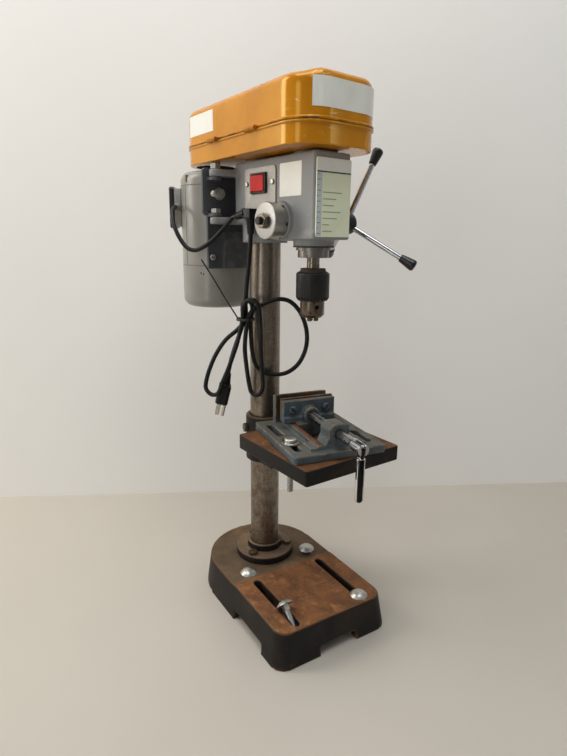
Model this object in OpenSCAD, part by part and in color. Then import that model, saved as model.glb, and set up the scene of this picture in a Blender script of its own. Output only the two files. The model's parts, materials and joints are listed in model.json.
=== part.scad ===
// Benchtop drill press with a swinging head, a tilting table and a drilling vise

/* [Column] */
// Outside diameter of the column
column_d = 46; // [40:1:50]
// Wall of the column tube
column_wall = 4; // [2:0.5:8]
// Height of the column's top end above the floor
column_top = 610; // [570:5:700]
// Length of column gripped by the head
column_grip = 52; // [46:1:54]
// Diameter of the flange at the foot of the column
flange_d = 94; // [90:1:110]
// Thickness of the flange plate
flange_t = 12; // [8:1:18]
// Outside diameter of the collar on the flange
flange_collar_d = 57; // [56:1:60]
// Height of the collar above the flange plate
flange_collar_h = 11; // [6:1:20]

/* [Base] */
// Width of the base
base_w = 180; // [160:2:220]
// Distance from the column axis to the front edge
base_front = 198; // [196:1:240]
// Height of the machined front pad above the floor
base_h = 53; // [48:1:80]
// Step from the front pad down to the painted rear
base_step = 2; // [1:0.5:4]
// Wall of the hollow casting
base_wall = 9; // [7:1:12]
// Thickness of the top of the casting
base_top_t = 14; // [10:1:20]
// Radius of the two front corners
base_corner_r = 20; // [10:1:30]
// Outward draft of the sides from top to floor
base_draft = 7; // [2:0.5:9]
// Width of the two mounting slots
slot_w = 11; // [10:0.5:14]
// Distance of each mounting slot from the middle
slot_x = 57; // [50:1:64]

/* [Table] */
// Side of the square table
table_w = 160; // [150:2:200]
// Depth of the table rim
table_t = 21; // [18:1:28]
// Height of the table top above the floor
table_z = 291; // [271:2:331]
// Distance from the column axis to the table's back edge
table_back = 52.5; // [51:0.5:60]
// Turn of the table round the column
table_angle = 3.5; // [-5:0.5:5]
// Depth of the tilt axis below the table top
tilt_depth = 46; // [44:1:52]
// Diameter of the tilt bolt
tilt_bolt_d = 12; // [10:1:14]

/* [Vise] */
// Width of the vise's base plate
vise_w = 132; // [126:2:150]
// Length of the vise's base plate
vise_l = 148; // [144:2:160]
// Thickness of the vise's base plate
vise_t = 11; // [9:1:14]
// Width of the jaws
jaw_w = 80; // [74:2:84]
// Height of the jaws above the base plate
jaw_h = 41; // [36:1:46]
// Gap between the jaws as they stand
jaw_gap = 16; // [5:0.5:24]
// Height of the lead screw's axis above the table
vise_screw_z = 31; // [30:1:34]
// Diameter of the lead screw
vise_screw_d = 13; // [11:1:14]
// Turn of the vise on the table
vise_angle = -13; // [-15:1:0]
// Length of the bar handle below its pin
handle_l = 70; // [50:2:80]

/* [Head] */
// Turn of the head round the column
head_angle = 6; // [-5:1:10]
// Distance from the column axis to the spindle axis
throat = 109; // [106:1:120]
// Width of the head casting
head_w = 60; // [58:1:64]
// Height of the main block of the head
body_h = 96; // [94:1:110]
// Front face of the head ahead of the spindle axis
head_nose = 35; // [32:1:40]
// Rear face of the head behind the column axis
head_rear = 36; // [34:1:38]

/* [Spindle] */
// Diameter of the quill
quill_d = 40; // [38:0.5:42]
// Length of the quill without its collar
quill_l = 98; // [94:1:104]
// Travel of the quill
quill_travel = 50; // [40:1:50]
// Diameter of the spindle
spindle_d = 17; // [15:0.5:18]
// Diameter of the chuck's turning sleeve
chuck_d = 45; // [42:1:50]
// Diameter of the drill shank between the jaws
grip_d = 6; // [4:0.5:8]

/* [Feed] */
// Tooth module of the rack and pinion
tooth_module = 1.5; // [1.25:0.05:1.6]
// Teeth on the pinion
pinion_teeth = 14; // [13:1:15]
// Distance of the feed hub's inner face from the middle of the head
hub_x = 76; // [72:1:90]
// Reach of the knob centres from the feed axis
knob_reach = 94; // [80:2:106]
// Diameter of the feed spokes
spoke_d = 8; // [6:0.5:10]
// Diameter of the return spring's cap
cap_d = 47; // [44:1:50]

/* [Cover] */
// Width of the pulley cover at the front
cover_w = 134; // [130:1:150]
// Front of the cover ahead of the spindle axis
cover_nose = 56; // [54:1:70]
// Radius of the cover's rear end
cover_rear_r = 54; // [52:1:60]
// Height of the cover's lower half
housing_h = 26; // [22:1:30]
// Height of the lid above the seam
lid_h = 51; // [48:1:60]
// Sheet thickness of both halves
sheet_t = 1.6; // [1.2:0.1:2.5]

/* [Motor] */
// Diameter of the motor shell
motor_d = 112; // [104:2:116]
// Length of the motor shell between the end bells
motor_l = 120; // [110:2:124]
// Sideways offset of the motor axis
motor_x = -10; // [-14:1:-4]
// Diameter of the motor shaft
shaft_d = 14; // [12:1:16]
// Diameter of the mains and motor leads
cord_d = 6.5; // [5.5:0.5:7]

/* [Fits] */
// Radial clearance of a running fit
run_fit = 0.05; // [0.02:0.01:0.1]
// Gap between pieces that move past each other
gap = 0.4; // [0.3:0.1:0.6]
// Radial clearance of a bolt in its hole
bolt_gap = 0.3; // [0.2:0.1:0.6]

/* [Hidden] */
$fn = 64;

// A cut starts this far outside the face that it opens
over = 1;

// Base and column
rear_z = base_h - base_step;
pad_back = 64;
foot_boss_d = 72;
flange_bolt_r = (flange_d + flange_collar_d) / 4;
flange_bolt_d = 8;
flange_bolt_angles = [90, 210, 330];
slot_back = 72;
slot_front = base_front - 8;
stud_d = 8;
stud_l = 40;
stud_head_d = 26;
stud_head_h = 7;
stud_neck_h = 8;
rear_hole_d = 12;
tight_hole_d = 10.5;
rear_hole = [55, 45];
notch_w = 62;
notch_x = 5;
notch_h = 14;
side_notch = [74, 155];

// Table and its bracket
bracket_wall = 7;
bracket_r = column_d / 2 + run_fit + bracket_wall;
bracket_h = 74;
bracket_z = table_z + 4 - bracket_h;
tilt_z = table_z - tilt_depth;
arm_w = 44;
arm_y = table_back - 2;
table_skin = 9;
table_wall = 7;
tilt_boss_l = 34;
clamp_bolt_z = table_z - 17;
clamp_bolt_d = 8;
clamp_bolt_angle = 165;
hold_slot_w = 10;
hold_bolt_d = 8;
hold_bolt_l = 70;
hold_x = vise_w / 2 - 15;
hold_y = -26;

// Vise, in its own frame on the table top
vise_mid = [-1, -table_back - 81];
jaw_back = vise_l / 2 - 6;
fixed_jaw_t = 9;
jaw_plate_t = 4;
fixed_face = jaw_back - fixed_jaw_t - jaw_plate_t;
move_face = fixed_face - jaw_gap;
move_jaw_t = 11;
jaw_top = vise_t + jaw_h;
bridge_front = -vise_l / 2 + 9;
bridge_t = 26;
bridge_r = 14;
rail_w = 44;
rail_h = 8;
fork_y = -vise_l / 2 - 46;
fork_d = 15;
fork_l = 22;
handle_d = 11;
handle_eye_t = 5;
jaw_screw_x = 26;

// Head, in its own frame: column axis at the origin, underside of the column boss at zero
head_z = column_top - column_grip;
boss_r = column_d / 2 + 10;
boss_h = 32;
body_z = 14;
head_top = body_z + body_h;
lip_h = 9;
nose_boss_d = quill_d + 14;
nose_boss_z = body_z - lip_h - 8.5;
seat_h = 3;
floor_z = head_top + seat_h;
seam_z = floor_z + housing_h;
lid_z = seam_z + gap;
head_front = throat + head_nose;
step_y = 30;
step_z = 27;
ear_z = [25.5, 91.5];
ear_t = 10;
ear_r = 9;
pivot = [-56, 45];
pivot_bolt_d = 8;

// Quill, rack and pinion
pitch = PI * tooth_module;
pinion_r = tooth_module * pinion_teeth / 2;
tooth_tall = 0.9 * tooth_module;
tooth_deep = 1.15 * tooth_module;
rack_r = quill_d / 2 - tooth_tall;
feed_y = -throat + rack_r + pinion_r;
feed_z = body_z + 14;
shaft_r = pinion_r + tooth_tall;
pinion_w = 22;
quill_z = nose_boss_z - 2.5;
quill_top = quill_z + quill_l;
quill_collar_h = 12;
quill_collar_d = quill_d + 1.5;
bearing_d = 30;
bearing_h = 11;
quill_bore = 24;
spline_d = spindle_d - 4;
sleeve_d = 22;
spindle_top = seam_z + 34;
sleeve_bearing_d = 40;
sleeve_bearing_h = 12;

// Chuck
chuck_top = quill_z - quill_collar_h - 14;
chuck_shoulder = 5;
chuck_neck_d = 20;
chuck_bevel = 4;
sleeve_top = chuck_top - chuck_shoulder - gap;
chuck_sleeve_h = 37;
sleeve_low = sleeve_top - chuck_sleeve_h;
chuck_low = sleeve_low - 23;
chuck_body_d = 33;
jaw_tilt = 10;
jaw_d = 6.5;
jaw_len = 26;
jaw_travel = 8;
jaw_out = 5;
jaw_bite = 1.2;
chuck_turn = 42;
shank_bore = 13;

// Feed handle
knob_d = 16;
knob_l = 24;
knob_out = 48;
hub_d = 30;
hub_l = 20;
spoke_angles = [94, 214, 334];
boss_out = 8;
cap_x = head_w / 2 + boss_out;
cap_l = 21;
cap_wall = 2;
nut_t = 3.4;
shaft_end_d = 10;

// Switch
plate_y = [-66, 6];
plate_z = [40, 100];
plate_t = 1.5;
switch_y = -28;
switch_z = 79;
bezel = [36, 27];
bezel_t = 3;
rocker = [26, 21];
rocker_t = 3.5;
rocker_tilt = 6;
switch_deep = 20;

// Cover and pulleys
corner_r = 42;
cover_front = throat + cover_nose;
cover_rear_y = 107;
lip_out = 2;
lip_t = 3;
hump_h = 4;
hump_w = 84;
hump_y = 62;
hinge_y = [60, 163];
hinge_l = 26;
hinge_pin_d = 3;
hinge_knuckle_d = 6;
hinge_x = -corner_r - hinge_knuckle_d / 2 - lip_out;
side_from = [-cover_w / 2 + corner_r, -cover_front + corner_r];
side_run = [0, cover_rear_y] - side_from;
side_angle = asin((cover_rear_r - corner_r) / norm(side_run)) - atan2(side_run[0], side_run[1]);
spindle_steps = [100, 88, 76, 64];
motor_steps = [35, 47, 59, 71];
step_h = 12;
pulley_z = floor_z + 9;
groove_t = 8;
belt_step = 1;
belt_t = 6;

// Motor and its bracket
plate_face = 56;
bracket_t = 5;
motor_y = plate_face + bracket_t + 2 + motor_d / 2;
motor_z = -36;
bell_low = 66;
bell_high = 21;
bell_round = 14;
bell_wall = 4;
bracket_x = [-64, 70];
upper_plate_x = [-71, 20];
upper_plate_z = 38;
bracket_z_range = [-39, 104];
rib_x = [-39, 45];
rib_t = 6;
rib_h = 54;
shell_wall = 3;
rotor_d = 60;
box_angle = 140;
box = [9, 36, 58];
box_z = 52;
box_cover_t = 7;
box_gland_l = 12;
box_gland_d = 11;
box_gland_x = 3.5;
shaft_top = pulley_z + 4 * step_h + 3;
clamp_bolt = [-44, 69];
plate_screw = [57, -22];

// Leads, in the head's frame, points chosen by hand along what hangs
gland_d = 13;
gland_tip_d = 9;
gland_l = 22;
lead_gland = [[-40, -8, 40], [-43, 12, 36]];
cord_gland_top = [-37, -16, 33];
lead_route = [
    [-43, 12, 36], [-44.5, 20, 34], [-51, 31, 21], [-63, 43, 4], [-73, 58, -8],
    [-80, 71, -12], [-86, 82, -8], [-91, 92, 4], [-94, 102, 20], [-93, 111, 35],
    [-88, 119, 46], [-80, 128, 51.5], [-75.5, 133.6, 52]
];
cord_route = [
    [-37, -16, 11], [-37.5, -15.5, -2], [-39, -14, -28], [-41, -11.5, -58], [-42, -9.5, -86],
    [-42, -9, -109], [-51, -2, -124], [-65, 9.5, -140], [-76.5, 19, -162], [-85.5, 25, -187],
    [-90.5, 27, -207], [-90.5, 25, -216.5], [-85.5, 19.5, -223], [-80, 13, -222],
    [-76, 8.5, -213], [-74, 6, -203], [-68, 0.5, -184], [-62, -4.5, -163], [-56, -9, -140],
    [-49.5, -12, -109], [-49.5, -13.5, -95], [-48, -17.5, -84], [-43, -25, -79],
    [-37, -31.5, -84], [-34.5, -34, -97], [-33.5, -35.5, -123], [-33.5, -36, -151],
    [-33, -37.5, -177], [-32.5, -39.5, -198], [-32.8, -39, -209], [-35, -35.5, -217.5],
    [-39, -29.5, -220.5], [-42.5, -24, -216.5], [-44, -21, -206], [-46.5, -18, -180], [-48.5, -16.5, -152],
    [-47, -17, -128], [-43, -17, -109], [-40, -20, -98], [-32, -25, -90], [-22, -30, -85],
    [-11.5, -35, -81], [-1, -42, -79], [10, -49.5, -83], [19.5, -57, -95], [26.5, -62.5, -113],
    [29.5, -65, -134], [27.5, -63.5, -155], [20, -57.5, -175], [8, -48, -188],
    [-5.5, -37.5, -192], [-20.5, -26.5, -189], [-30.5, -19.5, -178], [-34.5, -16, -160],
    [-36, -14.5, -136], [-36, -14, -109], [-32.5, -13.5, -97], [-32.5, -11.5, -87.5],
    [-34.5, -4.5, -82.5], [-37, 3, -86.5], [-38.5, 4, -97], [-39.5, -1, -109], [-41, 3.5, -125],
    [-47, 9.5, -148], [-52.5, 14, -170], [-54.5, 15.5, -181], [-56.5, 17, -192]
];
tie_mid = [-42, -9, -109];
tie_h = 4;
tie_bore = 23.5;
tie_t = 1.6;
tail_route = [[-55, -9, -107], [-66, 6, -80], [-78, 18, -52], [-91, 30, -24]];
tail_d = 2.2;
plug_way = [-14, 9, -68];
plug_relief = 20;
plug_body_l = 30;
plug_size = [26, 19];
blade_l = 18;
tube_sides = 8;
tube_steps = 2;
gap_steps = 6;

// Frames that the groups of pieces stand in
module in_head() {
    translate([0, 0, head_z])
        rotate([0, 0, head_angle])
            children();
}

module in_table() {
    rotate([0, 0, table_angle])
        children();
}

module in_vise() {
    in_table()
        translate([vise_mid[0], vise_mid[1], table_z])
            rotate([0, 0, vise_angle])
                children();
}

module at_spindle() {
    in_head()
        translate([0, -throat, 0])
            children();
}

module at_feed() {
    in_head()
        translate([0, feed_y, feed_z])
            rotate([0, 90, 0])
                children();
}

module at_motor() {
    in_head()
        translate([motor_x, motor_y, 0])
            children();
}

// Shapes used more than once
module ring(d, bore, h) {
    difference() {
        cylinder(d = d, h = h);
        translate([0, 0, -over])
            cylinder(d = bore, h = h + 2 * over);
    }
}

module hexagon(across, h) {
    cylinder(d = across / cos(30), h = h, $fn = 6);
}

module rounded_puck(d, h, r) {
    rotate_extrude() {
        square([d / 2 - r, h]);
        square([d / 2, h - r]);
        translate([d / 2 - r, h - r])
            intersection() {
                circle(r);
                square(r);
            }
    }
}

module slot_2d(w, l) {
    translate([-w / 2, -l / 2 + w / 2])
        square([w, l - w]);
    for (end = [-1, 1])
        translate([0, end * (l - w) / 2])
            circle(d = w);
}

module rounded_box_2d(w, l, r) {
    translate([-w / 2 + r, -l / 2])
        square([w - 2 * r, l]);
    translate([-w / 2, -l / 2 + r])
        square([w, l - 2 * r]);
    for (sx = [-1, 1])
        for (sy = [-1, 1])
            translate([sx * (w / 2 - r), sy * (l / 2 - r)])
                circle(r);
}

module hex_bolt(d, l, across, head_h) {
    translate([0, 0, -l])
        cylinder(d = d, h = l);
    hexagon(across, head_h);
}

module slotted_screw(d, l, head_d, head_h) {
    translate([0, 0, -l])
        cylinder(d = d, h = l);
    difference() {
        rounded_puck(head_d, head_h, head_h / 2);
        translate([-head_d, -head_d / 12, head_h / 2])
            cube([2 * head_d, head_d / 6, head_h]);
    }
}

module along(way) {
    rotate([0, acos(way[2] / norm(way)), atan2(way[1], way[0])])
        children();
}

// A round tube swept along a smooth curve through a route's points
function clamped(r, i) = r[max(0, min(len(r) - 1, i))];
function spline(a, b, c, d, t) = b + 0.5 * t * (c - a + t * (2 * a - 5 * b + 4 * c - d + t * (3 * (b - c) + d - a)));
function smooth(r, n) = [
    for (i = [0 : len(r) - 2])
        for (k = [0 : n - 1])
            spline(clamped(r, i - 1), r[i], r[i + 1], clamped(r, i + 2), k / n),
    r[len(r) - 1]
];
function unit(v) = v / norm(v);
function heading(p, i) = unit(clamped(p, i + 1) - clamped(p, i - 1));
function square_to(u, t) = unit(u - (u * t) * t);
function frames(p, u, i = 0) =
    i >= len(p) ? [] :
    let (t = heading(p, i), v = square_to(u, t))
    concat([[p[i], v, cross(t, v)]], frames(p, v, i + 1));
function circle_at(f, r, n) = [
    for (k = [0 : n - 1])
        f[0] + r * (cos(360 * k / n) * f[1] + sin(360 * k / n) * f[2])
];
function least_gap(p, d, skip) = min([
    for (i = [0 : len(p) - 1 - skip])
        for (j = [i + skip : len(p) - 1])
            norm(p[i] - p[j])
]) - d;

module tube_along(route, d, n) {
    path = smooth(route, tube_steps);
    points = [for (f = frames(path, [1, 0.2, 0.1])) each circle_at(f, d / 2, n)];
    last = (len(path) - 1) * n;
    sides = [
        for (i = [0 : len(path) - 2])
            for (k = [0 : n - 1])
                let (a = i * n + k, b = i * n + (k + 1) % n)
                each [[a, a + n, b + n], [a, b + n, b]]
    ];
    caps = [
        for (k = [1 : n - 2])
            each [[0, k, k + 1], [last, last + k + 1, last + k]]
    ];
    polyhedron(points, concat(sides, caps));
}

// Stand: base casting, its mounting bolts, the flange and the column
module base_outline(grow) {
    half = base_w / 2 + grow;
    front = base_front + grow;
    circle(half, $fn = 96);
    translate([-half, -front + base_corner_r])
        square([2 * half, front - base_corner_r]);
    translate([-half + base_corner_r, -front])
        square([2 * (half - base_corner_r), front]);
    for (side = [-1, 1])
        translate([side * (half - base_corner_r), -front + base_corner_r])
            circle(base_corner_r);
}

module base() {
    color("#3a332c")
        difference() {
            hull() {
                linear_extrude(0.5)
                    base_outline(base_draft);
                translate([0, 0, base_h - 0.5])
                    linear_extrude(0.5)
                        base_outline(0);
            }
            translate([-base_w, -pad_back, rear_z])
                cube([2 * base_w, base_w + pad_back, base_step + over]);
            difference() {
                translate([0, 0, -over])
                    linear_extrude(base_h - base_top_t + over)
                        base_outline(-base_wall);
                translate([0, 0, -2 * over])
                    cylinder(d = foot_boss_d, h = base_h);
            }
            for (side = [-1, 1]) {
                translate([side * slot_x, -(slot_back + slot_front) / 2, 0])
                    linear_extrude(base_h + over)
                        slot_2d(slot_w, slot_front - slot_back);
                translate([side * rear_hole[0], -rear_hole[1], 0])
                    cylinder(d = side < 0 ? rear_hole_d : tight_hole_d, h = base_h);
                translate([side * base_w / 2, -(side_notch[0] + side_notch[1]) / 2, 0])
                    cube([4 * base_wall, side_notch[1] - side_notch[0], 2 * notch_h], center = true);
            }
            translate([notch_x, -base_front, 0])
                cube([notch_w, 4 * base_wall, 2 * notch_h], center = true);
            for (a = flange_bolt_angles)
                rotate([0, 0, a])
                    translate([flange_bolt_r, 0, rear_z - base_top_t - 6])
                        cylinder(d = flange_bolt_d + 2 * bolt_gap, h = base_h);
        }
}

module carriage_bolt() {
    cap_r = (stud_head_d * stud_head_d / 4 + stud_head_h * stud_head_h) / (2 * stud_head_h);
    translate([0, 0, -stud_l])
        cylinder(d = stud_d, h = stud_l);
    translate([0, 0, -stud_neck_h / 2])
        cube([stud_d, stud_d, stud_neck_h], center = true);
    intersection() {
        translate([0, 0, stud_head_h - cap_r])
            sphere(cap_r);
        cylinder(d = stud_head_d + over, h = stud_head_h);
    }
}

module base_bolts() {
    lean = 50;
    color("silver") {
        translate([-rear_hole[0], -rear_hole[1], rear_z])
            carriage_bolt();
        translate([rear_hole[0], -rear_hole[1], rear_z + stud_neck_h])
            rotate([0, 0, 30])
                carriage_bolt();
        translate([slot_x, -slot_front + 9, base_h])
            carriage_bolt();
        translate([-slot_x, -slot_front + 34, base_h + stud_head_d / 2 * sin(lean)])
            rotate([-lean, 0, 0])
                carriage_bolt();
    }
}

module column_flange() {
    color("#4a4038")
        translate([0, 0, rear_z])
            difference() {
                union() {
                    rounded_puck(flange_d, flange_t, 3);
                    cylinder(d = flange_collar_d, h = flange_t + flange_collar_h);
                }
                translate([0, 0, -over])
                    cylinder(d = column_d, h = flange_t + flange_collar_h + 2 * over);
                for (a = flange_bolt_angles)
                    rotate([0, 0, a])
                        translate([flange_bolt_r, 0, -over])
                            cylinder(d = flange_bolt_d + 2 * bolt_gap, h = flange_t + 2 * over);
            }
}

module flange_bolts() {
    color("#6a5a4c")
        for (a = flange_bolt_angles)
            rotate([0, 0, a])
                translate([flange_bolt_r, 0, rear_z + flange_t])
                    hex_bolt(flange_bolt_d, flange_t + base_top_t, 13, 5.5);
}

module column() {
    color("#8a7660")
        translate([0, 0, rear_z])
            ring(column_d, column_d - 2 * column_wall, column_top - rear_z);
}

// Table, its sliding bracket and the bolts that hold both
module table_bracket() {
    bore_d = column_d + 2 * run_fit;
    color("#35302b")
        in_table()
            difference() {
                union() {
                    translate([0, 0, bracket_z])
                        cylinder(r = bracket_r, h = bracket_h);
                    translate([-arm_w / 2, -arm_y, bracket_z])
                        cube([arm_w, arm_y, tilt_z - bracket_z]);
                    translate([0, 0, tilt_z])
                        rotate([90, 0, 0])
                            cylinder(d = arm_w, h = arm_y);
                }
                translate([0, 0, bracket_z - over])
                    cylinder(d = bore_d, h = bracket_h + 2 * over);
                translate([0, over - column_d / 2, tilt_z])
                    rotate([90, 0, 0])
                        cylinder(d = tilt_bolt_d, h = arm_y);
                rotate([0, 0, clamp_bolt_angle])
                    translate([0, 0, clamp_bolt_z])
                        rotate([0, 90, 0])
                            cylinder(d = clamp_bolt_d, h = bracket_r + over);
            }
}

module table_bolts() {
    shank = arm_y - column_d / 2 - 2 + tilt_boss_l + 2 * gap;
    color("#57504a")
        in_table() {
            translate([0, -arm_y - 2 * gap - tilt_boss_l, tilt_z])
                rotate([90, 0, 0])
                    hex_bolt(tilt_bolt_d, shank, 19, 8);
            rotate([0, 0, clamp_bolt_angle])
                translate([bracket_r, 0, clamp_bolt_z])
                    rotate([0, 90, 0])
                        hex_bolt(clamp_bolt_d, bracket_wall - 1, 13, 5.5);
        }
}

module table() {
    mid_y = -table_back - table_w / 2;
    boss_y = -arm_y - gap;
    color("#5d4433")
        difference() {
            in_table()
                difference() {
                    union() {
                        difference() {
                            translate([0, mid_y, table_z - table_t])
                                linear_extrude(table_t)
                                    rounded_box_2d(table_w, table_w, 4);
                            translate([0, mid_y, table_z - table_t - over])
                                linear_extrude(table_t - table_skin + over)
                                    rounded_box_2d(table_w - 2 * table_wall, table_w - 2 * table_wall, 3);
                        }
                        translate([-arm_w / 2, boss_y - tilt_boss_l, tilt_z])
                            cube([arm_w, tilt_boss_l, table_z - table_skin / 2 - tilt_z]);
                        translate([0, boss_y, tilt_z])
                            rotate([90, 0, 0])
                                cylinder(d = arm_w, h = tilt_boss_l);
                    }
                    translate([-arm_w, -table_back, tilt_z])
                        cube([2 * arm_w, table_back, 2 * tilt_depth]);
                    translate([0, boss_y + over, tilt_z])
                        rotate([90, 0, 0])
                            cylinder(d = tilt_bolt_d + 2 * run_fit, h = tilt_boss_l + 2 * over);
                    translate([0, -throat, 0])
                        cylinder(d = 24, h = table_z + over);
                }
            hold_down_cut(hold_bolt_d + 2 * bolt_gap);
        }
}

// Place of the hold-down bolt, in the vise's frame
module at_hold_down() {
    in_vise()
        translate([-hold_x, hold_y, 0])
            children();
}

module hold_down_cut(d) {
    at_hold_down()
        translate([0, 0, -table_t])
            cylinder(d = d, h = table_t + over);
}

module vise_body() {
    slot_l = 50;
    low = vise_t - vise_screw_z;
    color("#7d8588")
        in_vise()
            difference() {
                union() {
                    linear_extrude(vise_t)
                        rounded_box_2d(vise_w, vise_l, 5);
                    translate([-jaw_w / 2, fixed_face + jaw_plate_t, 0])
                        cube([jaw_w, fixed_jaw_t, jaw_top]);
                    translate([-jaw_w / 2 + 4, jaw_back, 0])
                        cube([jaw_w - 8, vise_l / 2 - jaw_back, vise_t + jaw_h / 2]);
                    translate([-jaw_w / 2, bridge_front, 0])
                        cube([jaw_w, bridge_t, vise_t + 5]);
                    translate([0, bridge_front + bridge_t, vise_screw_z])
                        rotate([90, 0, 0])
                            linear_extrude(bridge_t)
                                polygon([
                                    [-bridge_r - 9, low], [bridge_r + 9, low], [bridge_r + 1, -4],
                                    [bridge_r + 1, 6], [bridge_r - 6, 13], [6 - bridge_r, 13],
                                    [-bridge_r - 1, 6], [-bridge_r - 1, -4]
                                ]);
                    for (side = [-1, 1])
                        translate([side * (rail_w / 2 + 4) - 4, bridge_front, 0])
                            cube([8, fixed_face - bridge_front, vise_t + rail_h]);
                }
                translate([-rail_w / 2, bridge_front + bridge_t, -over])
                    cube([rail_w, fixed_face - bridge_front - bridge_t - 8, vise_t + 2 * over]);
                for (side = [-1, 1])
                    for (end = [-1, 1])
                        translate([side * hold_x, end * (slot_l / 2 + 5), -over])
                            linear_extrude(vise_t + 2 * over)
                                slot_2d(hold_slot_w, slot_l);
                translate([0, bridge_front - over, vise_screw_z])
                    rotate([-90, 0, 0])
                        cylinder(d = vise_screw_d + 2 * run_fit, h = bridge_t + 2 * over);
            }
}

module jaw_plate(y) {
    translate([-jaw_w / 2, y, vise_t + rail_h + 2])
        cube([jaw_w, jaw_plate_t, jaw_h - rail_h]);
}

module vise_fixed_plate() {
    color("#6b5442")
        in_vise()
            jaw_plate(fixed_face);
}

module vise_hold_downs() {
    nut_top = -table_skin;
    color("silver")
        at_hold_down() {
            translate([0, 0, vise_t])
                rounded_puck(22, 2, 0.5);
            translate([0, 0, vise_t + 2])
                rounded_puck(17, 6, 3);
            translate([0, 0, vise_t + 2 - hold_bolt_l])
                cylinder(d = hold_bolt_d, h = hold_bolt_l);
            translate([0, 0, nut_top - 6.5])
                hexagon(13, 6.5);
        }
}

module vise_moving_jaw() {
    front = move_face - jaw_plate_t - move_jaw_t;
    foot_z = vise_t + rail_h + gap;
    color("#7d8588")
        in_vise()
            difference() {
                union() {
                    translate([-jaw_w / 2, front + 3, foot_z])
                        cube([jaw_w, move_jaw_t - 3, jaw_top - foot_z]);
                    translate([-jaw_w / 2, front, foot_z])
                        cube([jaw_w, move_jaw_t, 9]);
                    translate([0, front + 4, vise_screw_z])
                        rotate([90, 0, 0])
                            cylinder(d = 24, h = 12);
                    translate([-rail_w / 2 + gap, front - 8, 1])
                        cube([rail_w - 2 * gap, move_jaw_t + 3, foot_z]);
                }
                translate([0, front - 12, vise_screw_z])
                    rotate([-90, 0, 0])
                        cylinder(d = vise_screw_d + 2 * run_fit, h = 18);
                for (side = [-1, 1])
                    translate([side * jaw_screw_x, front - over, vise_screw_z + 8])
                        rotate([-90, 0, 0])
                            cylinder(d = 6, h = move_jaw_t + 2 * over);
            }
}

module vise_moving_plate() {
    color("#8d8f8c")
        in_vise()
            difference() {
                jaw_plate(move_face - jaw_plate_t);
                for (side = [-1, 1])
                    translate([side * jaw_screw_x, move_face - jaw_plate_t - over, vise_screw_z + 8])
                        rotate([-90, 0, 0])
                            cylinder(d = 6, h = jaw_plate_t);
            }
}

module vise_jaw_screws() {
    front = move_face - jaw_plate_t - move_jaw_t + 3;
    color("#8e959a")
        in_vise()
            for (side = [-1, 1])
                translate([side * jaw_screw_x, front, vise_screw_z + 8])
                    rotate([90, 0, 0])
                        rotate([0, 0, 40 * side])
                            slotted_screw(6, move_jaw_t - 3 + jaw_plate_t - over, 12, 5);
}

module vise_screw() {
    front = move_face - jaw_plate_t - move_jaw_t;
    color("#c9ccce")
        in_vise()
            translate([0, front + 5.5, vise_screw_z])
                rotate([90, 0, 0])
                    difference() {
                        union() {
                            cylinder(d = vise_screw_d, h = front + 5.5 - fork_y - fork_l + 4);
                            translate([0, 0, front + 5.5 - fork_y - fork_l + 6])
                                cylinder(d = fork_d, h = fork_l);
                            translate([0, 0, front + 5.5 - fork_y - fork_l + 2])
                                cylinder(d = vise_screw_d + 1, h = 5);
                        }
                        translate([-handle_eye_t / 2 - gap, -fork_d, front + 5.5 - fork_y - 11])
                            cube([handle_eye_t + 2 * gap, 2 * fork_d, 2 * fork_l]);
                        translate([0, 0, front + 5.5 - fork_y])
                            rotate([0, 90, 0])
                                cylinder(d = 5 + 2 * run_fit, h = 2 * fork_d, center = true);
                    }
}

module vise_handle() {
    color("#d4d6d8")
        in_vise()
            translate([0, fork_y, vise_screw_z]) {
                rotate([0, 90, 0])
                    cylinder(d = 5, h = fork_d + 1, center = true);
                rotate([0, 90, 0])
                    cylinder(d = 10, h = handle_eye_t, center = true);
                translate([-handle_eye_t / 2, -4, -14])
                    cube([handle_eye_t, 8, 14]);
                translate([0, 0, -handle_l + handle_d / 2])
                    cylinder(d = handle_d, h = handle_l - handle_d / 2 - 12);
                translate([0, 0, -handle_l + handle_d / 2])
                    sphere(d = handle_d);
            }
}

// Head casting and what is bolted to it
module head_block() {
    half = head_w / 2;
    translate([0, -(head_front - head_rear) / 2, step_z])
        linear_extrude(head_top - step_z)
            rounded_box_2d(head_w, head_front + head_rear, 5);
    translate([0, -(head_front + step_y) / 2, body_z])
        linear_extrude(step_z - body_z)
            rounded_box_2d(head_w, head_front - step_y, 5);
    translate([0, -(head_front + throat - 18) / 2, body_z - lip_h])
        linear_extrude(lip_h)
            rounded_box_2d(head_w + 3, head_front - throat + 20, 5);
    cylinder(r = boss_r, h = boss_h);
    translate([0, -throat, nose_boss_z])
        cylinder(d = nose_boss_d, h = head_top - nose_boss_z);
    for (y = [0, -throat])
        translate([0, y, head_top])
            cylinder(d = 56, h = seat_h);
    translate([-cap_x, feed_y, feed_z])
        rotate([0, 90, 0])
            cylinder(d = cap_d + 3, h = boss_out + half / 2);
    translate([half / 2, feed_y, feed_z])
        rotate([0, 90, 0])
            cylinder(d = 2 * shaft_r + 14, h = half / 2 + 6);
    for (z = ear_z) {
        translate([pivot[0], pivot[1], z])
            cylinder(r = ear_r, h = ear_t);
        translate([0, 0, z])
            linear_extrude(ear_t)
                polygon([
                    [pivot[0], pivot[1] - ear_r], [pivot[0], pivot[1] + ear_r],
                    [pivot[0] + ear_r, pivot[1] + ear_r], [-half / 2, head_rear + 6],
                    [-half / 2, head_rear - ear_r], [-half, head_rear - ear_r]
                ]);
    }
}

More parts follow.
